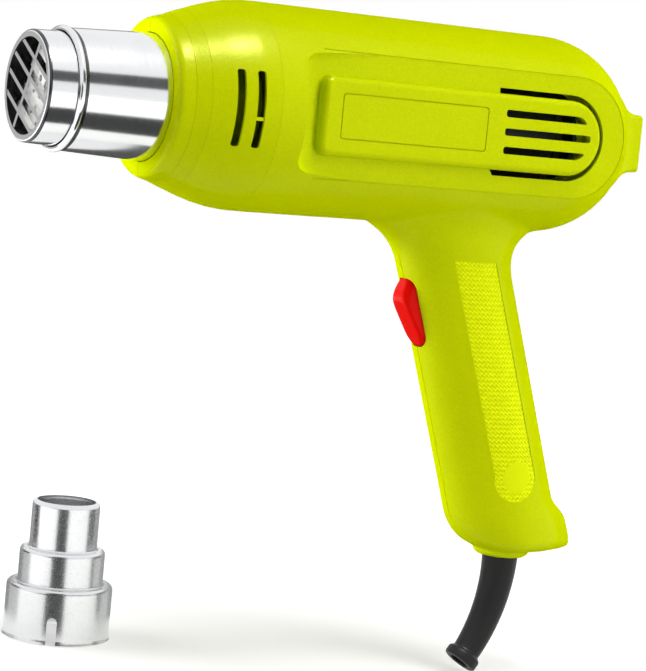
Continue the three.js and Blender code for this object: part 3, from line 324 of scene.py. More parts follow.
def halve():
    """Keeps the left half of the piece in hand, closed along the middle of the tool."""
    bpy.ops.object.mode_set(mode="EDIT")
    take_all()
    bpy.ops.mesh.bisect(plane_co=(0, -HALF_GAP, 0), plane_no=(0, 1, 0), use_fill=True, clear_outer=True)
    end_piece()


def pick(test, ring=None):
    """Selects the vertices, of the piece in edit mode or of one ring of it, whose place passes the test."""
    mesh = bmesh.from_edit_mesh(bpy.context.object.data)
    mesh.verts.ensure_lookup_table()
    for vertex in [mesh.verts[number] for number in ring] if ring else mesh.verts:
        vertex.select = bool(test(vertex.co))
    mesh.select_flush_mode()
    bmesh.update_edit_mesh(bpy.context.object.data)


def pick_upright_edges():
    """Selects the edges of the piece in edit mode that run up it."""
    mesh = bmesh.from_edit_mesh(bpy.context.object.data)
    for edge in mesh.edges:
        edge.select = abs(edge.verts[0].co.z - edge.verts[1].co.z) > 1
    bmesh.update_edit_mesh(bpy.context.object.data)


def soften(test, offset, segments):
    """Rounds over the edges of the piece in hand whose ends pass the test."""
    bpy.ops.object.mode_set(mode="EDIT")
    pick(test)
    bpy.ops.mesh.bevel(offset=offset, segments=segments, affect="EDGES")
    end_piece()


def extrude(x, y, z):
    """Draws what is selected on by a step."""
    bpy.ops.mesh.extrude_region_move(TRANSFORM_OT_translate={"value": (x, y, z)})


def turn(name, profile, sides=128, hollow=False, upright_at=None):
    """A round shape from (along, radius) pairs, ring by ring, about the barrel's axis or an upright one.
    The wall of a hollow one comes back to its first ring."""
    let_go()
    along, radius = profile[0]
    fill = "NOTHING" if hollow else "NGON"
    place, tilt = (along, 0, 0), (0, pi / 2, 0)
    if upright_at:
        place, tilt = (*upright_at, along), (0, 0, 0)
    bpy.ops.mesh.primitive_circle_add(
        vertices=sides, radius=radius, fill_type=fill, location=place, rotation=tilt
    )
    piece = start_piece(name)
    for next_along, next_radius in profile[1:] + profile[:1] if hollow else profile[1:]:
        step, ratio = next_along - along, next_radius / radius
        if upright_at:
            extrude(0, 0, step)
            bpy.ops.transform.resize(value=(ratio, ratio, 1), center_override=(*upright_at, next_along))
        else:
            extrude(step, 0, 0)
            bpy.ops.transform.resize(value=(1, ratio, ratio), center_override=(next_along, 0, 0))
        along, radius = next_along, next_radius
    end_piece()
    return piece


def sweep(name, stations, sides):
    """An upright shape through level rings: each ring's middle, height, front, rear, half width and tilt."""
    let_go()
    bpy.ops.mesh.primitive_circle_add(vertices=sides, radius=1, fill_type="NGON")
    piece = start_piece(name)
    place = Vector((0, 0, 0))
    was = (1, 1, 1, 0)
    for index, (x, z, *shape) in enumerate(stations):
        step = Vector((x, 0, z)) - place
        if index:
            extrude(*step)
        else:
            bpy.ops.transform.translate(value=step)
        place = Vector((x, 0, z))
        mesh = bmesh.from_edit_mesh(piece.data)
        mesh.verts.index_update()
        ring = [vertex.index for vertex in mesh.verts if vertex.select]
        bpy.ops.transform.rotate(value=-was[3], orient_axis="Y", center_override=place)
        bpy.ops.transform.resize(value=(1, shape[2] / was[2], 1), center_override=place)
        for half, sign in ((0, -1), (1, 1)):
            pick(lambda co: (co.x - x) * sign > 0, ring)
            bpy.ops.transform.resize(value=(shape[half] / was[half], 1, 1), center_override=place)
        pick(lambda co: True, ring)
        bpy.ops.transform.rotate(value=shape[3], orient_axis="Y", center_override=place)
        was = shape
    end_piece()
    return piece


def arc(x, z, radius, start, end, steps=8):
    """Points of an arc in the side view or in a turned profile, in degrees from the rear over the top."""
    angles = [radians(start + (end - start) * step / steps) for step in range(steps + 1)]
    return [(x + radius * cos(angle), z + radius * sin(angle)) for angle in angles]


def rounded(left, low, right, high, radius, steps=4):
    """A rectangle with round corners in the side view."""
    return [
        *arc(right - radius, low + radius, radius, -90, 0, steps),
        *arc(right - radius, high - radius, radius, 0, 90, steps),
        *arc(left + radius, high - radius, radius, 90, 180, steps),
        *arc(left + radius, low + radius, radius, 180, 270, steps),
    ]


def prism(name, outline, y_from, y_to):
    """An outline in the side view, drawn on point by point from a pinched plane, then out across the tool."""
    let_go()
    x, z = outline[0]
    bpy.ops.mesh.primitive_plane_add(size=1, location=(x, y_from, z))
    piece = start_piece(name)
    bpy.ops.mesh.merge(type="CENTER")
    for next_x, next_z in outline[1:]:
        extrude(next_x - x, 0, next_z - z)
        x, z = next_x, next_z
    take_all()
    bpy.ops.mesh.edge_face_add()
    extrude(0, y_to - y_from, 0)
    end_piece()
    return piece


def rod(name, x, z, radius, y_from, y_to, sides=24):
    """A round bar across the tool."""
    middle = (x, (y_from + y_to) / 2, z)
    let_go()
    bpy.ops.mesh.primitive_cylinder_add(
        vertices=sides, radius=radius, depth=abs(y_to - y_from), location=middle, rotation=(pi / 2, 0, 0)
    )
    piece = start_piece(name)
    end_piece()
    return piece


def join(pieces):
    """Several pieces that stay apart as one."""
    take(pieces[0])
    for piece in pieces[1:]:
        piece.select_set(True)
    bpy.ops.object.join()
    return pieces[0]


def modify(piece, kind, **settings):
    """Adds a modifier to a piece and applies it."""
    take(piece)
    bpy.ops.object.modifier_add(type=kind)
    modifier = piece.modifiers[-1]
    for setting, value in settings.items():
        setattr(modifier, setting, value)
    bpy.ops.object.modifier_apply(modifier=modifier.name)


def combine(piece, other, operation):
    """Cuts another shape out of a piece, adds it, or keeps what they share. The other shape is used up."""
    modify(piece, "BOOLEAN", object=other, operation=operation, solver="MANIFOLD")
    bpy.data.objects.remove(other)


def copy_of(piece, name):
    """The same piece again, with its own mesh."""
    twin = piece.copy()
    twin.data = piece.data.copy()
    twin.name = name
    bpy.context.scene.collection.objects.link(twin)
    return twin


def quarter_round(radius, along):
    """How far a quarter round has drawn away from its straight run, a distance along it."""
    reach = min(max(along, 0), 0.95 * radius)
    return radius - sqrt(radius**2 - reach**2)


def ease(start, end, value):
    """Rises softly from 0 to 1 while a value goes from start to end."""
    share = min(max((value - start) / (end - start), 0), 1)
    return share * share * (3 - 2 * share)


def handle_station(z):
    """One level ring of the handle: flared into the body, round at the toe, drawn out to a heel."""
    flare_z = min(z, FLARE_TOP_Z)
    side_flare_low = -sqrt((BODY_R + SIDE_FLARE) ** 2 - (HANDLE_SIDE + SIDE_FLARE) ** 2)
    foot_edge = quarter_round(FOOT_EDGE_R, HANDLE_FOOT_Z + FOOT_EDGE_R - z)
    heel = HEEL_REACH * ease(HEEL_TOP_Z, HEEL_LOW_Z, z)
    front = HANDLE_DEPTH + quarter_round(FRONT_FLARE, flare_z + BODY_R + FRONT_FLARE)
    front -= quarter_round(TOE_R, HANDLE_FOOT_Z + TOE_R - z)
    rear = HANDLE_DEPTH + quarter_round(REAR_FLARE, flare_z + BODY_R + REAR_FLARE) + heel - foot_edge / 8
    side = HANDLE_SIDE + quarter_round(SIDE_FLARE, flare_z - side_flare_low) - foot_edge
    tilt = atan(HEEL_SLOPE) * ease(HEEL_TOP_Z, HANDLE_FOOT_Z, z)
    return (handle_x(z), z, front, rear, side, tilt)


dome = arc(DOME_X, 0, BODY_R, 84, 6, 13)
MOULD_LINES = [(44.5, 26.2), (49, 27.95), (70.5, 33.3)]
shoulder = [*MOULD_LINES[:2], (52, 29), (55.5, 30.25), (60, 31.6), (65, 32.7), MOULD_LINES[2], (76, BODY_R)]
collar = [(COLLAR_X, 24.2), (40.6, 25.2)]
body = turn("body", [*collar, *shoulder, (DOME_X, BODY_R), *dome, (DOME_X + BODY_R, 0.05)], 160)

flare_heights = [-18, FLARE_TOP_Z, -28, -30, -31.5, -33, -34.5, -36, -38, -40, -42.5, -45, -49]
foot_heights = [-84, -120, HEEL_TOP_Z, -126, -127.5, -129, -131, HEEL_LOW_Z, -135, -137, -139]
foot_heights += [-140.5, -141.8, -142.7, HANDLE_FOOT_Z]
handle = sweep("handle", [handle_station(z) for z in flare_heights + foot_heights], 96)
grip_face = copy_of(handle, "grip_face")

left = join([body, handle])
left.name = "left_housing_shell"
modify(left, "REMESH", mode="VOXEL", voxel_size=SOFTNESS)
bpy.ops.object.mode_set(mode="EDIT")
# The shell is smoothed least about the heel, and most where the handle flares into the body.
smoothing = [
    (lambda co: co.z > -122, 4),
    (lambda co: co.z <= -122, 2),
    (lambda co: -46 < co.z < -20 and co.x > 105, 24),
]
for area, rounds in smoothing:
    pick(area)
    bpy.ops.mesh.vertices_smooth(factor=0.5, repeat=rounds)
halve()

# The tail foot swells towards the dome; the gland is a short collar under the handle.
let_go()
bpy.ops.mesh.primitive_plane_add(size=1, location=(TAIL_X, 0, 0), rotation=(0, pi / 2, 0))
bpy.context.object.scale = (2 * TAIL_HALF_Z, 2 * TAIL_HALF_Y, 1)
tail = start_piece("tail")
bpy.ops.mesh.bevel(offset=1.6, segments=4, affect="VERTICES")
tail_x, tail_height, tail_width = TAIL_X, TAIL_HALF_Z, TAIL_HALF_Y
for x, swell in ((221.5, 0.2), (219, 1), (216.5, 2.6), (214.5, 4.3), (213, 5.5), (205, 9)):
    extrude(x - tail_x, 0, 0)
    height, width = TAIL_HALF_Z + swell, TAIL_HALF_Y + 0.6 * swell
    bpy.ops.transform.resize(value=(1, width / tail_width, height / tail_height), center_override=(x, 0, 0))
    tail_x, tail_height, tail_width = x, height, width
end_piece()
soften(lambda co: co.x > TAIL_X - 0.1, 0.7, 3)
halve()
gland_profile = [(-146, 8.2), (-145.6, 8.9), (-144.9, 9.5), (-144.2, 9.9), (-139, 9.9)]
gland = turn("gland", gland_profile, 64, upright_at=(GLAND_X, 0))
halve()
combine(left, join([tail, gland]), "UNION")

# The scoop is a flat with a coved front wall and a fine line along its edge. The panel stands up in it with a
# rounded rim.
SCOOP_CORNER = 6
scoop_outline = rounded(SCOOP_FRONT_X, -SCOOP_HALF, SCOOP_END_X, SCOOP_HALF, SCOOP_CORNER, 6)
scoop = prism("scoop", scoop_outline, -SCOOP_Y, -CLEAR_Y)
soften(lambda co: co.y > -SCOOP_Y - 0.1 and co.x < SCOOP_FRONT_X + SCOOP_CORNER + 0.1, 4, 6)
combine(left, scoop, "DIFFERENCE")
LINE_X, LINE_OUT, LINE_IN = 87, SCOOP_HALF + 0.25, SCOOP_HALF - 0.05
edge_line = [(LINE_X, -LINE_OUT), *arc(DOME_X, 0, LINE_OUT, -90, 90, 40), (LINE_X, LINE_OUT)]
edge_line += [(LINE_X, LINE_IN), *arc(DOME_X, 0, LINE_IN, 90, -90, 40), (LINE_X, -LINE_IN)]
combine(left, prism("scoop_line", edge_line, -SCOOP_Y + 0.25, -SCOOP_Y - 2), "DIFFERENCE")


def panel_outline(grow):
    """Square at the front, round at the rear."""
    front, radius, corner = PANEL_FRONT_X - grow, PANEL_R + grow, 3 + grow
    return [
        *arc(PANEL_END_X, PANEL_Z, radius, -90, 90, 28),
        *arc(front + corner, PANEL_Z + radius - corner, corner, 90, 180, 7),
        *arc(front + corner, PANEL_Z - radius + corner, corner, 180, 270, 7),
    ]


panel = prism("panel", panel_outline(0.4), -SCOOP_Y + 1, -PANEL_Y)
soften(lambda co: co.y < -PANEL_Y + 0.1, 2, 5)
combine(left, panel, "UNION")

# Inside it is hollow, with ribs for the barrel's flange and bosses for the screws.
RIB_XS, RIB_R, RIB_THICK = (70.9, 75.3), 24.6, 2.2
rib_profile = []
for x in RIB_XS:
    rib_profile += [(x, BORE_R), (x + 0.01, RIB_R), (x + RIB_THICK, RIB_R), (x + RIB_THICK + 0.01, BORE_R)]
bore_dome = arc(DOME_X, 0, BORE_R, 80, 10, 7)
behind_vents = [(53, 28.4), (55.5, 29.3), (60, 30.65), (65, 31.75), (67.5, 32), (68, 30.6)]
bore_collar = [(COLLAR_X - 2, 20.2), (52, 20.2), *behind_vents, (70, BORE_R)]
bore = turn("bore", [*bore_collar, *rib_profile, (DOME_X, BORE_R), *bore_dome, (DOME_X + BORE_R, 0.05)], 96)
wall_outline = rounded(SCOOP_FRONT_X - WALL, -SCOOP_HALF - WALL, SCOOP_END_X, SCOOP_HALF + WALL, SCOOP_CORNER)
combine(bore, prism("wall_behind_scoop", wall_outline, -SCOOP_Y + WALL, -CLEAR_Y), "DIFFERENCE")
combine(bore, prism("panel_pocket", panel_outline(-WALL), -20, -PANEL_Y + WALL), "UNION")
bore_depth, bore_side, bore_foot_z = HANDLE_DEPTH - WALL, HANDLE_SIDE - WALL, HANDLE_FOOT_Z + WALL
shaft = []
for z in (-24, -60, -100, -129, -133, -135.6, -138.6, bore_foot_z):
    toe = quarter_round(TOE_R, bore_foot_z + TOE_R - z)
    edge = quarter_round(FOOT_EDGE_R, bore_foot_z + FOOT_EDGE_R - z)
    shaft.append((handle_x(z), z, bore_depth - toe, bore_depth, bore_side - edge, 0))
combine(bore, sweep("handle_bore", shaft, 64), "UNION")
bosses = [rod("boss", x, z, BOSS_R, -CLEAR_Y, -HALF_GAP) for x, z, seat in SCREW_PLACES.values()]
combine(bore, join(bosses), "DIFFERENCE")
combine(left, bore, "DIFFERENCE")

# The grip strip: rows of zigzag ridges in a shallow bed, with a plain round spot at its lower end.
STRIP_TOP_Z, STRIP_END_Z, STRIP_HALF = -44, -116.5, 8 / cos(RAKE)
RIDGE_PITCH, RIDGE_WAVE, RIDGE_SWAY, RIDGE_HEIGHT, RIDGE_SLOPE = 1.6, 1.57, 0.4, 0.4, 3.2
RIDGE_LEVELS = (0.05, 0.25, 0.45, 0.65, 0.85)
BED_DEPTH, SPOT_R = 0.35, 5.6
BESIDE_HANDLE = (0, -40, 0)
bottom_z = STRIP_END_Z - STRIP_HALF - 1
let_go()
bpy.ops.mesh.primitive_plane_add(size=2, location=BESIDE_HANDLE, rotation=(pi / 2, 0, 0))
strip = start_piece("strip")
bpy.ops.transform.resize(value=(STRIP_HALF + 0.6, 1, 1), center_override=BESIDE_HANDLE)
pick(lambda co: co.z < 0)
bpy.ops.transform.translate(value=(handle_x(bottom_z), 0, bottom_z + 1))
pick(lambda co: co.z > 0)
bpy.ops.transform.translate(value=(handle_x(STRIP_TOP_Z + 1), 0, STRIP_TOP_Z))
pick_upright_edges()
bpy.ops.mesh.select_mode(type="EDGE")
bpy.ops.mesh.subdivide(number_cuts=4)
bpy.ops.mesh.select_mode(type="VERT")
take_all()
bpy.ops.mesh.subdivide(number_cuts=71)
bpy.ops.object.mode_set(mode="OBJECT")
modify(strip, "SHRINKWRAP", target=grip_face, wrap_method="PROJECT", use_project_y=True,
       use_positive_direction=True, use_negative_direction=False)
bpy.data.objects.remove(grip_face)
bed = copy_of(strip, "strip_bed")


def open_piece(piece):
    """Takes up a piece again in edit mode, with all of it selected."""
    take(piece)
    bpy.ops.object.mode_set(mode="EDIT")
    take_all()


def draw_out(y):
    """Draws the sheet in edit mode out across the tool to a flat end."""
    take_all()
    extrude(0, 0, 0)
    bpy.ops.transform.resize(value=(1, 0, 1), center_override=(0, y, 0))
    end_piece()


def strip_outline(half):
    """Square at the top, round at the lower end."""
    top = STRIP_TOP_Z - STRIP_HALF + half
    round_end = arc(handle_x(STRIP_END_Z), STRIP_END_Z, half, 180, 360, 24)
    return [(handle_x(top) + half, top), (handle_x(top) - half, top), *round_end]


open_piece(bed)
bpy.ops.transform.translate(value=(0, BED_DEPTH + 0.03, 0))
draw_out(-HANDLE_SIDE - 8)
combine(bed, prism("bed_edge", strip_outline(STRIP_HALF), 0, -30), "INTERSECT")
combine(left, bed, "DIFFERENCE")


def ridge(co):
    """How high the ridges stand at a place on the strip, from 0 to 1."""
    across = (co.x - handle_x(co.z)) / RIDGE_WAVE
    sway = RIDGE_SWAY * (4 * abs(across - round(across)) - 1)
    row = (co.z + sway) / RIDGE_PITCH
    return max(0, 1 - RIDGE_SLOPE * abs(row - round(row)))


def near_strip_end(co, radius):
    """Whether a place lies within a circle about the strip's lower end."""
    return (co.x - handle_x(STRIP_END_Z)) ** 2 + (co.z - STRIP_END_Z) ** 2 < radius**2


open_piece(strip)
bpy.ops.transform.translate(value=(0, BED_DEPTH, 0))
for level in RIDGE_LEVELS:
    pick(lambda co: ridge(co) > level and not near_strip_end(co, SPOT_R))
    bpy.ops.transform.translate(value=(0, -RIDGE_HEIGHT / len(RIDGE_LEVELS), 0))
pick(lambda co: near_strip_end(co, SPOT_R))
bpy.ops.transform.translate(value=(0, -RIDGE_HEIGHT / 2, 0))
draw_out(-HANDLE_SIDE + 3)
combine(strip, prism("strip_edge", strip_outline(STRIP_HALF - 0.25), 0, -30), "INTERSECT")
combine(left, strip, "UNION")

# Openings: the gap round the panel's rear end, the plate's bed, intake slots, vents, rocker and gland.
# A small rib bridges the rear vent.
GAP_X, GAP_IN, GAP_OUT, GAP_END_X = 154.6, PANEL_R + 0.4, PANEL_R + 2.3, PANEL_END_X + 1.4


def gap_outline(grow):
    """A band round the panel's rear end."""
    out = GAP_OUT + grow
    return [
        (GAP_X, PANEL_Z - out), *arc(GAP_END_X, PANEL_Z, out, -90, 90, 28), (GAP_X, PANEL_Z + out),
        (GAP_X, PANEL_Z + GAP_IN), *arc(PANEL_END_X, PANEL_Z, GAP_IN, 90, -90, 28),
        (GAP_X - 1.2, PANEL_Z - GAP_IN),
    ]


combine(left, prism("thin_lip", gap_outline(1.6), -20, -SCOOP_Y + 0.9), "DIFFERENCE")
openings = [
    prism("panel_gap", gap_outline(0), -20, -SCOOP_Y - 1),
    prism("plate_bed", rounded(93.5, -7.2, 148.5, 7.2, 1), -PANEL_Y + 0.8, -PANEL_Y - 1),
]
slot_nose = [(187.6, 4.7), (187.9, 5.1), (187.2, 5.9), (186.2, 6.6), (184.9, 7.1)]
outer_slot = [*arc(156.3, 5.6, 0.9, 180, 270, 4), *slot_nose, *arc(156.3, 6.2, 0.9, 90, 180, 4)]
slots = (rounded(155.4, -1.3, 190, 1.1, 0.8), outer_slot, [(x, -0.2 - z) for x, z in outer_slot])
openings += [prism("intake_slot", outline, -22, -PANEL_Y - 1) for outline in slots]
VENT_XS, VENT_HALF, VENT_LOW, VENT_HIGH = (57.6, 63.8), 1.3, -12.3, 11.2
for x in VENT_XS:
    vent = rounded(x - VENT_HALF, VENT_LOW, x + VENT_HALF, VENT_HIGH, 0.8)
    openings.append(prism("vent", vent, -15, -40))
openings.append(turn("gland_bore", [(-150, 6.6), (-137, 6.6)], 48, upright_at=(GLAND_X, 0)))
openings += [rod("pilot_hole", x, z, PILOT_R, -9, 4) for x, z, seat in SCREW_PLACES.values()]
combine(left, join(openings), "DIFFERENCE")
vent_rib = rounded(VENT_XS[1] - VENT_HALF - 0.3, -3.9, VENT_XS[1] + VENT_HALF + 0.3, -2.8, 0.3)
combine(left, prism("vent_rib", vent_rib, -30.6, -32), "UNION")
SWITCH_Z, ROCKER_PIN_X, HOLE_HALF = -56.7, -12, 5.1
SWITCH_PLACE = (handle_x(SWITCH_Z), 0, SWITCH_Z)
hole_outline = [(-26, -12.4), (-19, -13.2), (-10, -14), (-10, 14.4), (-18, 14.2), (-26, 13)]


def round_about_pin(name, half_width, spare):
    """A wheel about the rocker's pin with a round tread, which the rocker and its opening both follow."""
    flat, hub, crown = 1.2, 9.9 + spare, 4.1
    angles = [radians(angle) for angle in range(0, 91, 10)]
    tread = [(flat + (half_width - flat) * sin(angle), hub + crown * cos(angle)) for angle in angles]
    wheel = turn(name, [(-y, radius) for y, radius in reversed(tread)] + tread, 128)
    wheel.rotation_euler.z = pi / 2
    wheel.location.x = ROCKER_PIN_X
    return wheel


rocker_hole = prism("rocker_hole", hole_outline, HOLE_HALF, -HOLE_HALF)
combine(rocker_hole, round_about_pin("hole_wheel", HOLE_HALF, 0.35), "INTERSECT")
rocker_hole.location = SWITCH_PLACE
rocker_hole.rotation_euler = (0, -RAKE, 0)
combine(left, rocker_hole, "DIFFERENCE")

# Fine mould lines round the shoulder.
NOTCH_HALF, NOTCH_DEPTH = 0.3, 0.18
for x, radius in MOULD_LINES:
    notch = [(x - NOTCH_HALF, radius + 1), (x, radius - NOTCH_DEPTH), (x + NOTCH_HALF, radius + 1)]
    combine(left, turn("line", notch, 160, hollow=True), "DIFFERENCE")

right_shell = copy_of(left, "right_housing_shell")
take(right_shell)
right_shell.scale.y = -1
start_piece("right_housing_shell")
end_piece()
sinks = [rod("screw_bore", x, z, SCREW_BORE_R, seat, CLEAR_Y) for x, z, seat in SCREW_PLACES.values()]
combine(right_shell, join(sinks), "DIFFERENCE")


def start_group(name, takes, gives):
    """A new shader group with its nodes, its links, its way in and its way out."""
    group = bpy.data.node_groups.new(name, "ShaderNodeTree")
    for socket, kind in takes.items():
        group.interface.new_socket(socket, in_out="INPUT", socket_type=kind)
    for socket in gives:
        group.interface.new_socket(socket, in_out="OUTPUT", socket_type="NodeSocketFloat")
    nodes = group.nodes
    return group, nodes, group.links, nodes.new("NodeGroupInput"), nodes.new("NodeGroupOutput")


def grain_group():
    """Moulded skin: a fine even grain, and a tone that speckles with it and clouds a little."""
    group, nodes, links, inside, outside = start_group(
        "moulded_skin", {"Fineness": "NodeSocketFloat"}, ("Grain", "Tone")
    )
    place = nodes.new("ShaderNodeTexCoord")
    fine, broad = nodes.new("ShaderNodeTexNoise"), nodes.new("ShaderNodeTexNoise")
    dial(fine, {"Detail": 3})
    dial(broad, {"Scale": 70, "Detail": 4})
    links.new(place.outputs["Object"], fine.inputs["Vector"])
    links.new(place.outputs["Object"], broad.inputs["Vector"])
    links.new(inside.outputs["Fineness"], fine.inputs["Scale"])
    links.new(fine.outputs["Fac"], outside.inputs["Grain"])
    speckle = ramp(nodes, links, fine.outputs["Fac"], 0, 0.6, 0.3, 0.7)
    tone = reckon(nodes, links, "MULTIPLY_ADD", broad.outputs["Fac"], 0.4, speckle)
    links.new(tone, outside.inputs["Tone"])
    return group


moulded_skin = grain_group()


def lay_on(nodes, links, shader, colours, mix, gloss, height, strength, depth):
    """Joins a finish to its shader: two colours and how they mix, its gloss, and the height of its bump."""
    tone = nodes.new("ShaderNodeMix")
    tone.data_type = "RGBA"
    dial(tone, {"A": (*colours[0], 1), "B": (*colours[1], 1)})
    links.new(mix, tone.inputs["Factor"])
    links.new(tone.outputs["Result"], shader.inputs["Base Color"])
    links.new(gloss, shader.inputs["Roughness"])
    bump = nodes.new("ShaderNodeBump")
    dial(bump, {"Strength": strength, "Distance": depth})
    links.new(height, bump.inputs["Height"])
    links.new(bump.outputs["Normal"], shader.inputs["Normal"])


def moulded(name, colour, shade, roughness, fineness, depth, specular=0.4, sheen=(1, 1, 1)):
    """A moulded or pressed finish: colour that speckles a little, grain in the bump and in the gloss."""
    material, nodes, links, shader = paint(name)
    skin = nodes.new("ShaderNodeGroup")
    skin.node_tree = moulded_skin
    dial(skin, {"Fineness": fineness})
    grain = skin.outputs["Grain"]
    gloss = ramp(nodes, links, grain, roughness - 0.06, roughness + 0.06)
    lay_on(nodes, links, shader, (colour, shade), skin.outputs["Tone"], gloss, grain, 0.5, depth)
    dial(shader, {"Specular IOR Level": specular, "Specular Tint": (*sheen, 1)})
    return material


def settle(piece, material, body, slot, *replaced):
    """Smooths a finished piece, brings it into the frame in metres, paints it and fixes it to its body."""
    take(piece)
    bpy.ops.object.transform_apply()
    piece.scale = (0.001, 0.001, 0.001)
    piece.location = BARREL_MOUTH
    bpy.ops.object.transform_apply()
    bpy.ops.object.shade_smooth_by_angle(angle=radians(32))
    modify(piece, "WEIGHTED_NORMAL", keep_sharp=True)
    piece.data.materials.clear()
    piece.data.materials.append(material)
    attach(piece, body)
    if replaced:
        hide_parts(*replaced)


# The gleam on the lime fades out where its skin is seen edge on.
LIME_GLEAM = 0.14
LIME_SKIN = (0.3, 1600, 0.0001)
lime = moulded("lime_plastic", (0.605, 0.71, 0.0), (0.515, 0.6, 0.0), *LIME_SKIN, LIME_GLEAM, (1, 1, 0.15))
nodes, links = lime.node_tree.nodes, lime.node_tree.links
edge_on = nodes.new("ShaderNodeLayerWeight").outputs["Facing"]
gleam = ramp(nodes, links, edge_on, LIME_GLEAM, 0, 0.3, 0.5)
links.new(gleam, nodes["Principled BSDF"].inputs["Specular IOR Level"])


def ridge_group():
    """The strip's zigzag ridges as a mask, 1 on a crest and 0 between two, for the painted highlight on each
    crest.
    """
    group, nodes, links, _, outside = start_group("zigzag_ridges", {}, ("Crest",))
    step = partial(reckon, nodes, links)
    split = nodes.new("ShaderNodeSeparateXYZ")
    links.new(nodes.new("ShaderNodeTexCoord").outputs["Object"], split.inputs[0])
    x, z = split.outputs["X"], split.outputs["Z"]
    across = step("DIVIDE", step("MULTIPLY_ADD", z, tan(RAKE), x), RIDGE_WAVE / 1000)
    height = step("SUBTRACT", z, BARREL_MOUTH.z + RIDGE_SWAY / 1000)
    swayed = step("MULTIPLY_ADD", step("PINGPONG", across, 0.5), 4 * RIDGE_SWAY / 1000, height)
    from_row = step("PINGPONG", step("DIVIDE", swayed, RIDGE_PITCH / 1000), 0.5)
    crest = step("MAXIMUM", step("MULTIPLY_ADD", from_row, -RIDGE_SLOPE, 1), 0)
    links.new(crest, outside.inputs["Crest"])
    return group


# The grip's lime is lighter than the shell's, and lighter still on the ridge crests: painted highlights for the
# ridges' glints.
lime_grip_painted_glints = moulded("lime_grip_painted_glints", (0.72, 0.835, 0.001), (0.95, 1, 0.008), *LIME_SKIN, 0.06, (1, 1, 0.3))
lime_spot = moulded("lime_spot", (0.76, 0.87, 0.003), (0.72, 0.83, 0.002), *LIME_SKIN, 0.06, (1, 1, 0.5))
nodes, links = lime_grip_painted_glints.node_tree.nodes, lime_grip_painted_glints.node_tree.links
# The crest mask picks the colour, so each ridge crest carries a painted highlight.
ridges = nodes.new("ShaderNodeGroup")
ridges.node_tree = ridge_group()
links.new(ridges.outputs["Crest"], nodes["Mix"].inputs["Factor"])


def finish_of_handle(place):
    """Lime off the grip strip; on it the grip's lighter lime with a painted highlight on each ridge; the spot's
    at its lower end.
    """
    on_strip = near_strip_end(place, STRIP_HALF)
    if place.z > STRIP_END_Z:
        on_strip = place.z < STRIP_TOP_Z and abs(place.x - handle_x(place.z)) < STRIP_HALF
    if not on_strip or abs(place.y) <= HANDLE_SIDE - 3:
        return 0
    return 2 if near_strip_end(place, SPOT_R) else 1


def touch_up(piece, choose, *finishes):
    """Adds finishes to a piece's first, which is number 0, and gives each face the one chosen for its place."""
    for material in finishes:
        piece.data.materials.append(material)
    for face in piece.data.polygons:
        face.material_index = choose((face.center - BARREL_MOUTH) * 1000)


for shell, node in ((left, "left_housing"), (right_shell, "right_housing")):
    settle(shell, lime, "housing", "lime_plastic", node)
    touch_up(shell, finish_of_handle, lime_grip_painted_glints, lime_spot)


# Name plates
# Bare lime plates of the same plastic, pressed into shallow beds in the raised panels.
def finish(material, *names):
    """Paints nodes whose shape is already right."""
    for name in names:
        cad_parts[name].material_slots[0].material = material


finish(lime, "left_name_plate", "right_name_plate")


# Housing screws
# Six zinc plated pan head screws, driven from the right side, each at the bottom of its bore.
shank = [(-18.3, 0.05), (-15.4, 1.45), (0, 1.45)]
head = [(0.01, 3), (1, 3), (1.6, 2.6), (2, 1.8), (2.2, 0.05)]
screw = turn("screw", shank + head, 40)
let_go()
bpy.ops.mesh.primitive_cube_add(size=1, location=(2, 0, 0))
bpy.context.object.scale = (1.6, 0.7, 3.2)
recess = start_piece("recess")
bpy.ops.mesh.bevel(offset=0.12, segments=2, affect="EDGES")
end_piece()
crossed = copy_of(recess, "crossed")
crossed.rotation_euler.x = pi / 2
combine(screw, recess, "DIFFERENCE")
combine(screw, crossed, "DIFFERENCE")


def brushed_group():
    """Metal that was turned or brushed: fine streaks along one direction, and a cloud of handling marks."""
    group, nodes, links, inside, outside = start_group(
        "brushed_metal", {"Stretch": "NodeSocketVector"}, ("Streak", "Cloud")
    )
    place = nodes.new("ShaderNodeTexCoord")
    stretch = nodes.new("ShaderNodeVectorMath")
    stretch.operation = "MULTIPLY"
    streak, cloud = nodes.new("ShaderNodeTexNoise"), nodes.new("ShaderNodeTexNoise")
    dial(streak, {"Scale": 1, "Detail": 4})
    dial(cloud, {"Scale": 90})
    links.new(place.outputs["Object"], stretch.inputs[0])
    links.new(inside.outputs["Stretch"], stretch.inputs[1])
    links.new(stretch.outputs["Vector"], streak.inputs["Vector"])
    links.new(place.outputs["Object"], cloud.inputs["Vector"])
    links.new(streak.outputs["Fac"], outside.inputs["Streak"])
    links.new(cloud.outputs["Fac"], outside.inputs["Cloud"])
    return group


brushed_metal = brushed_group()


def metal(name, colour, shade, roughness, stretch, depth):
    """A bare or plated metal: brushed streaks in its gloss and bump, tone that clouds a little."""
    material, nodes, links, shader = paint(name)
    brush = nodes.new("ShaderNodeGroup")
    brush.node_tree = brushed_metal
    dial(brush, {"Stretch": stretch})
    streak = brush.outputs["Streak"]
    gloss = ramp(nodes, links, streak, max(roughness - 0.06, 0.02), roughness + 0.08)
    lay_on(nodes, links, shader, (colour, shade), brush.outputs["Cloud"], gloss, streak, 0.4, depth)
    dial(shader, {"Metallic": 1})
    return material


EVEN_GRAIN = (900, 900, 900)
zinc = metal("zinc_steel", (0.48, 0.49, 0.5), (0.4, 0.41, 0.43), 0.36, EVEN_GRAIN, 0.00001)
for name, (x, z, seat) in SCREW_PLACES.items():
    fitted = copy_of(screw, f"{name}_driven")
    fitted.rotation_euler.z = pi / 2
    fitted.location = (x, seat + 0.3, z)
    settle(fitted, zinc, "housing", "zinc_steel", name)
bpy.data.objects.remove(screw)
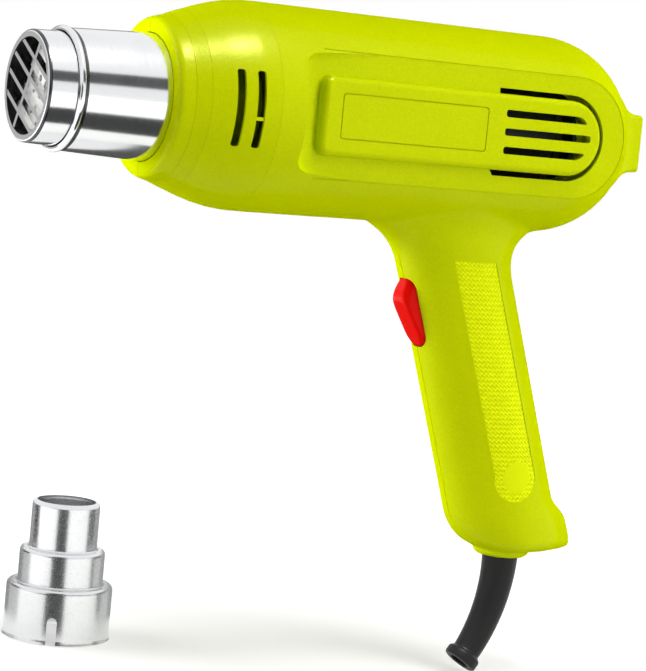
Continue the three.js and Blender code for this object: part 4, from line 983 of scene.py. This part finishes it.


# Barrel heat shield
# A drawn steel tube, polished, with a rolled bead at its front and a flange that the housing halves clamp.
# A dark band behind the bead is painted on, a painted reflection.
bead = arc(10.45, 18.3, 1.05, 180, 30, 10)
shield_outside = [*bead, (11.7, 18.75), (12.3, 18.78), (COLLAR_X, 20), (73.5, 20), (73.51, 27)]
shield_profile = [(9.4, 17.9), *shield_outside, (74.9, 27), (74.91, 19.15), (COLLAR_X, 19.15)]
shield = turn("barrel_tube", shield_profile, 160, hollow=True)
steel = metal("polished_steel", (0.86, 0.87, 0.88), (0.78, 0.79, 0.8), 0.13, (5200, 130, 130), 0.000004)
# Near black steel for the dark bands on the polished steel: a painted reflection.
painted_reflection = metal("painted_reflection_steel", (0.1, 0.1, 0.105), (0.07, 0.07, 0.075), 0.25, EVEN_GRAIN, 0.000004)
settle(shield, steel, "housing", "polished_steel", "barrel_heat_shield")
# The bead's rear side and the groove behind it get the painted reflection.
touch_up(shield, lambda place: int(11 < place.x < 12.3), painted_reflection)


# Nozzle sleeve
# The inner steel tube with a flat front ring that slip-on nozzles fit over. A dark band is painted along the
# ring's edge as a painted reflection, and its inside is painted near black as painted shade.
rim = [(0, 14.9), *arc(1.05, 16.2, 1.05, 180, 90, 6)]
sleeve_profile = [*rim, (9, 17.5), (86, 17.5), (86.01, 16.9), (0.9, 16.6), (0.89, 14.9)]
sleeve = turn("nozzle_tube", sleeve_profile, 160, hollow=True)
# Near black paint for the sleeve's inside and the guard's ring: painted shade, where the mouth lies in shadow.
painted_shade = moulded("painted_shade_steel", (0.03, 0.029, 0.028), (0.02, 0.019, 0.018), 0.8, 900, 0.00002, 0.1)


def finish_of_mouth(place):
    """Bare steel on the front and outside, painted shade inside and a painted reflection along the ring's edge.
    """
    radius = sqrt(place.y**2 + place.z**2)
    if radius > 16.3 and 0.1 < place.x < 1:
        return 2
    return int(radius < 16.9 and place.x > 0.3)


settle(sleeve, steel, "housing", "polished_steel", "nozzle_sleeve")
touch_up(sleeve, finish_of_mouth, painted_shade, painted_reflection)


# Outlet guard
# Slanted steel bars, one across the others, in a thin ring pressed into the mouth to keep fingers out.
guard = turn("guard", [(1.2, 15.2), (1.2, 16.2), (2.4, 16.2), (2.4, 15.2)], 96, hollow=True)
# Each bar's distance from the middle and its lean. Each lies a hair in front of the one before.
BARS = ((-9.3, -60), (-3.1, -60), (3.1, -60), (9.3, -60), (0, 30))
BAR_REACH, BAR_X, BAR_DEPTH, BAR_WIDTH = 15.7, 1.3, 2.2, 1.4
for number, (offset, lean) in enumerate(BARS):
    length = 2 * sqrt(BAR_REACH**2 - offset**2)
    let_go()
    bpy.ops.mesh.primitive_cube_add(size=1, location=(BAR_X - 0.02 * number, offset, 0))
    bpy.context.object.scale = (BAR_DEPTH, BAR_WIDTH, length)
    bar = start_piece("bar")
    pick_upright_edges()
    bpy.ops.mesh.bevel(offset=0.55, segments=5, affect="EDGES")
    end_piece()
    bar.rotation_euler.x = radians(lean)
    combine(guard, bar, "UNION")
lip_room = [(-1, 14.8), (-1, 18), (1.1, 18), (1.1, 14.8)]
combine(guard, turn("lip_room", lip_room, 96, hollow=True), "DIFFERENCE")
settle(guard, steel, "housing", "polished_steel", "outlet_guard")
# The guard's ring, set deep in the mouth, is painted near black as painted shade; the bars stay bare steel.
touch_up(guard, lambda place: int(sqrt(place.y**2 + place.z**2) > 15.1), painted_shade)


# Heater front disc
# A pale fired ceramic disc with air holes, behind the guard, that the heating coil ends against.
disc = turn("ceramic_disc", [(6.6, 14.6), (7, 15), (11.6, 15), (12, 14.6)], 96)
# Each ring of holes: how many, on how wide a circle, and how wide each.
AIR_HOLES = ((1, 0, 2), (6, 5.3, 1.1), (20, 9.2, 0.6), (14, 12.6, 0.7))
drills = []
for count, circle, radius in AIR_HOLES:
    for number in range(count):
        angle = 2 * pi * (number + 0.5) / count
        let_go()
        bpy.ops.mesh.primitive_cylinder_add(
            vertices=20, radius=radius, depth=9, location=(9.3, circle * cos(angle), circle * sin(angle)),
            rotation=(0, pi / 2, 0)
        )
        drills.append(start_piece("drill"))
        end_piece()
combine(disc, join(drills), "DIFFERENCE")
ceramic = moulded("ceramic", (0.88, 0.87, 0.85), (0.76, 0.74, 0.71), 0.75, 1400, 0.00004)
settle(disc, ceramic, "housing", "ceramic", "heater_front_disc")


# Heater
# A nickel chrome coil wound round a cross of mica, in a mica sleeve between two ceramic discs.
mica = moulded("mica", (0.08, 0.07, 0.055), (0.05, 0.042, 0.03), 0.5, 700, 0.00003)
heating_wire = metal("heating_wire", (0.2, 0.18, 0.17), (0.12, 0.11, 0.12), 0.45, (800, 800, 800), 0.00001)
finish(ceramic, "heater_rear_disc")
finish(mica, "mica_sleeve", "heater_frame")
finish(heating_wire, "heating_coil")
finish(zinc, "thermal_cutout")


# Air duct and fan
# Black glass filled plastic: a funnel that takes the air down to the heater,
# and the impeller on the motor's shaft.
black = moulded("black_plastic", (0.045, 0.045, 0.042), (0.03, 0.03, 0.028), 0.5, 1800, 0.00003)
finish(black, "air_duct", "fan_impeller")


# Motor
# A small brushed motor: zinc plated can, black end cap, brass bushes, ferrite magnets and a copper armature.
# A black cradle holds it, with its rectifier on a board.
ferrite = moulded("ferrite", (0.05, 0.052, 0.055), (0.03, 0.03, 0.033), 0.8, 1500, 0.00004)
brass = metal("brass", (0.6, 0.4, 0.1), (0.5, 0.32, 0.08), 0.35, EVEN_GRAIN, 0.00001)
copper = metal("copper", (0.55, 0.22, 0.08), (0.44, 0.16, 0.05), 0.35, (300, 1600, 1600), 0.00001)
circuit_board = moulded("circuit_board", (0.012, 0.05, 0.02), (0.009, 0.038, 0.015), 0.4, 900, 0.00002)
can_zinc = metal("dull_zinc", (0.11, 0.112, 0.115), (0.08, 0.082, 0.085), 0.6, EVEN_GRAIN, 0.00001)
finish(can_zinc, "motor_can")
finish(black, "motor_end_cap", "motor_cradle", "bridge_rectifier")
finish(brass, "motor_front_bush", "motor_rear_bush")
finish(ferrite, "motor_magnet_left", "motor_magnet_right", "motor_brush_top", "motor_brush_bottom")
finish(copper, "motor_armature", "motor_commutator")
finish(steel, "motor_shaft")
finish(circuit_board, "rectifier_board")


# Rocker
# A glossy red rocker in the front of the handle, moulded in one piece,
# that tilts on a steel pin through the switch.
rocker_outline = [
    (-10, 10.8), (-17.4, 12.7), (-18.3, 12.7), (-19, 12.5), (-19.7, 12.1), (-20.3, 11.4),
    (-22.9, 8.3), (-23.4, 7.1), (-23.7, 5.9), (-23.7, 4.9), (-23.5, 3.9),
    (-20.2, -10.8), (-19.9, -12.1), (-18.9, -13), (-17.5, -13.4), (-16.4, -13.4),
    (-10, -11.6), (-8, -3.6), (-6.8, -1.2), (-4.9, 0.1), (-4.9, 1.7), (-6.8, 2.9), (-8, 4.9),
]
ROCKER_HALF = HOLE_HALF - 0.3
rocker = prism("rocker_cap", rocker_outline, ROCKER_HALF, -ROCKER_HALF)
combine(rocker, round_about_pin("rocker_wheel", ROCKER_HALF, 0.15), "INTERSECT")
modify(rocker, "REMESH", mode="VOXEL", voxel_size=0.2)
modify(rocker, "SMOOTH", factor=0.5, iterations=140)
combine(rocker, rod("pin_hole", ROCKER_PIN_X, 0, 1.3, 9, -9), "DIFFERENCE")
rocker.rotation_euler = (0, -RAKE, 0)
rocker.location = SWITCH_PLACE
red_tones = ((0.78, 0.004, 0.001), (0.72, 0.003, 0.001))
red = moulded("red_plastic", *red_tones, 0.2, 1200, 0.000006, 0.14, (1, 0.3, 0.3))
settle(rocker, red, "rocker", "red_plastic", "rocker")


# Switch
# Black case behind the rocker, with a see-saw copper contact and three brass blades.
finish(steel, "rocker_pin")
finish(black, "switch_case")
finish(copper, "switch_contact")
finish(brass, "switch_terminal_motor", "switch_terminal_heater", "switch_terminal_feed")


# Leads and mains parts
# Brown and blue insulated leads, a moulded capacitor and a ceramic terminal block,
# and the cord clamp with its two screws.
brown_insulation = moulded("brown_insulation", (0.14, 0.06, 0.02), (0.1, 0.045, 0.015), 0.5, 900, 0.00002)
blue_insulation = moulded("blue_insulation", (0.03, 0.1, 0.4), (0.02, 0.075, 0.3), 0.5, 900, 0.00002)
finish(brown_insulation, "lead_feed", "lead_heater", "lead_motor")
finish(blue_insulation, "lead_neutral", "suppression_capacitor")
finish(ceramic, "terminal_block")
finish(black, "cord_clamp")
finish(zinc, "cord_clamp_screw_1", "cord_clamp_screw_2")


# Cord boot
# A black rubber sleeve, moulded with a bend and a thick lip, that hangs by its head in the gland.
BOOT_TOP_Z, BOOT_BEND_Z, BOOT_BEND_R, BOOT_BEND = -137.6, -147, 60, radians(38)
HEAD_R, BOOT_R, BOOT_END_R, TAPER_STEPS = 7.3, 6.2, 4.8, 20
boot_straight = BOOT_TOP_Z - BOOT_BEND_Z
boot_length = boot_straight + BOOT_BEND_R * BOOT_BEND
lip = boot_length - 3.6
taper = lip - 1 - boot_straight
boot_stations = [(0, HEAD_R), (0.3, 7.6), (2.3, 7.6), (2.6, HEAD_R), (2.61, BOOT_R), (boot_straight, BOOT_R)]
for step in range(1, TAPER_STEPS + 1):
    share = step / TAPER_STEPS
    boot_stations.append((boot_straight + share * taper, BOOT_R + share * (BOOT_END_R - BOOT_R)))
boot_stations += [(lip - 0.5, 5.0), (lip - 0.1, 5.5), (lip + 0.3, 5.95), (lip + 0.9, 6.1)]
boot_stations += [(boot_length - 0.9, 6.1), (boot_length - 0.3, 5.9), (boot_length, 5.4)]
boot_stations += [(boot_length + 0.01, 3.6), (boot_length - 0.3, 3.4)]
boot_stations += [(boot_length - step, 3.4) for step in (3, 6, 9, 12, 15)]
let_go()
place, radius, bend = Vector((GLAND_X, 0, BOOT_TOP_Z)), HEAD_R, 0
bpy.ops.mesh.primitive_circle_add(vertices=64, radius=radius, fill_type="NGON", location=place)
boot = start_piece("boot_sleeve")
for along, next_radius in boot_stations[1:]:
    next_bend = max(along - boot_straight, 0) / BOOT_BEND_R
    drift, drop = BOOT_BEND_R * (1 - cos(next_bend)), BOOT_BEND_R * sin(next_bend)
    next_place = Vector((GLAND_X - drift, 0, BOOT_BEND_Z - drop))
    if along < boot_straight:
        next_place = Vector((GLAND_X, 0, BOOT_TOP_Z - along))
    extrude(*(next_place - place))
    bpy.ops.transform.rotate(value=bend - next_bend, orient_axis="Y", center_override=next_place)
    bpy.ops.transform.resize(value=(next_radius / radius,) * 3, center_override=next_place)
    place, radius, bend = next_place, next_radius, next_bend
end_piece()
rubber = moulded("black_rubber", (0.012, 0.0118, 0.012), (0.009, 0.0088, 0.009), 0.45, 1500, 0.00003, 0.2)
settle(boot, rubber, "housing", "black_rubber", "cord_boot")


# Reducer nozzle
# A slip-on nozzle drawn from thin polished steel in three steps.
# Slots let its skirt spring over the barrel's front ring.
REDUCER_PLACE = (59, 71.5)
REDUCER_BASE_Z = -187.7
SHEET = 0.6
SKIRT_TOP, NECK_TOP, SPOUT_TOP = 18.6, 30.6, 47
SKIRT_R, NECK_R, SPOUT_R = 18.3, 14.7, 11.7
SKIRT_ROUND, NECK_ROUND, SPOUT_ROUND, COVE = 1.7, 1.5, 1.6, 0.8


def drawn_step(top, wide, narrow, convex, concave):
    """The wall's top edge, rounded over and then coved up into the next, narrower step."""
    over = arc(top - convex, wide - convex, convex, 90, 0, 6)
    cove = arc(top + concave, narrow + concave, concave, 180, 270, 6)
    return over + cove


def nozzle_wall(inset):
    """One side of the sheet, from its flared rim up over skirt and neck to the end of the spout."""
    skirt, neck, spout = SKIRT_R - inset, NECK_R - inset, SPOUT_R - inset
    return [
        (0, skirt + 0.5), (0.35, skirt + 0.32), (0.8, skirt + 0.1), (1.5, skirt),
        *drawn_step(SKIRT_TOP - inset, skirt, neck, SKIRT_ROUND - inset, COVE + inset),
        *drawn_step(NECK_TOP - inset, neck, spout, NECK_ROUND - inset, COVE + inset),
        *arc(SPOUT_TOP - SPOUT_ROUND, SPOUT_R - SPOUT_ROUND, SPOUT_ROUND - inset, 90, 0, 6),
    ]


both_walls = [*nozzle_wall(0), *reversed(nozzle_wall(SHEET))]
nozzle = turn("nozzle_shell", both_walls, 160, hollow=True, upright_at=(0, 0))
SLOT_HALF, SLOT_TOP = 1.7, 7.7
slot_outline = [(-SLOT_HALF, -3), (SLOT_HALF, -3), *arc(0, SLOT_TOP, SLOT_HALF, 0, 180, 12)]
for number in range(3):
    slot = prism("skirt_slot", slot_outline, -30, -2)
    slot.rotation_euler.z = radians(-30 + 120 * number)
    combine(nozzle, slot, "DIFFERENCE")
nozzle.location = (*REDUCER_PLACE, REDUCER_BASE_Z)
FINE_GRAIN = (2600, 2600, 2600)
nozzle_steel = metal("nozzle_steel", (0.84, 0.85, 0.86), (0.76, 0.77, 0.78), 0.25, FINE_GRAIN, 0.000008)
settle(nozzle, nozzle_steel, "reducer", "polished_steel", "reducer_nozzle")
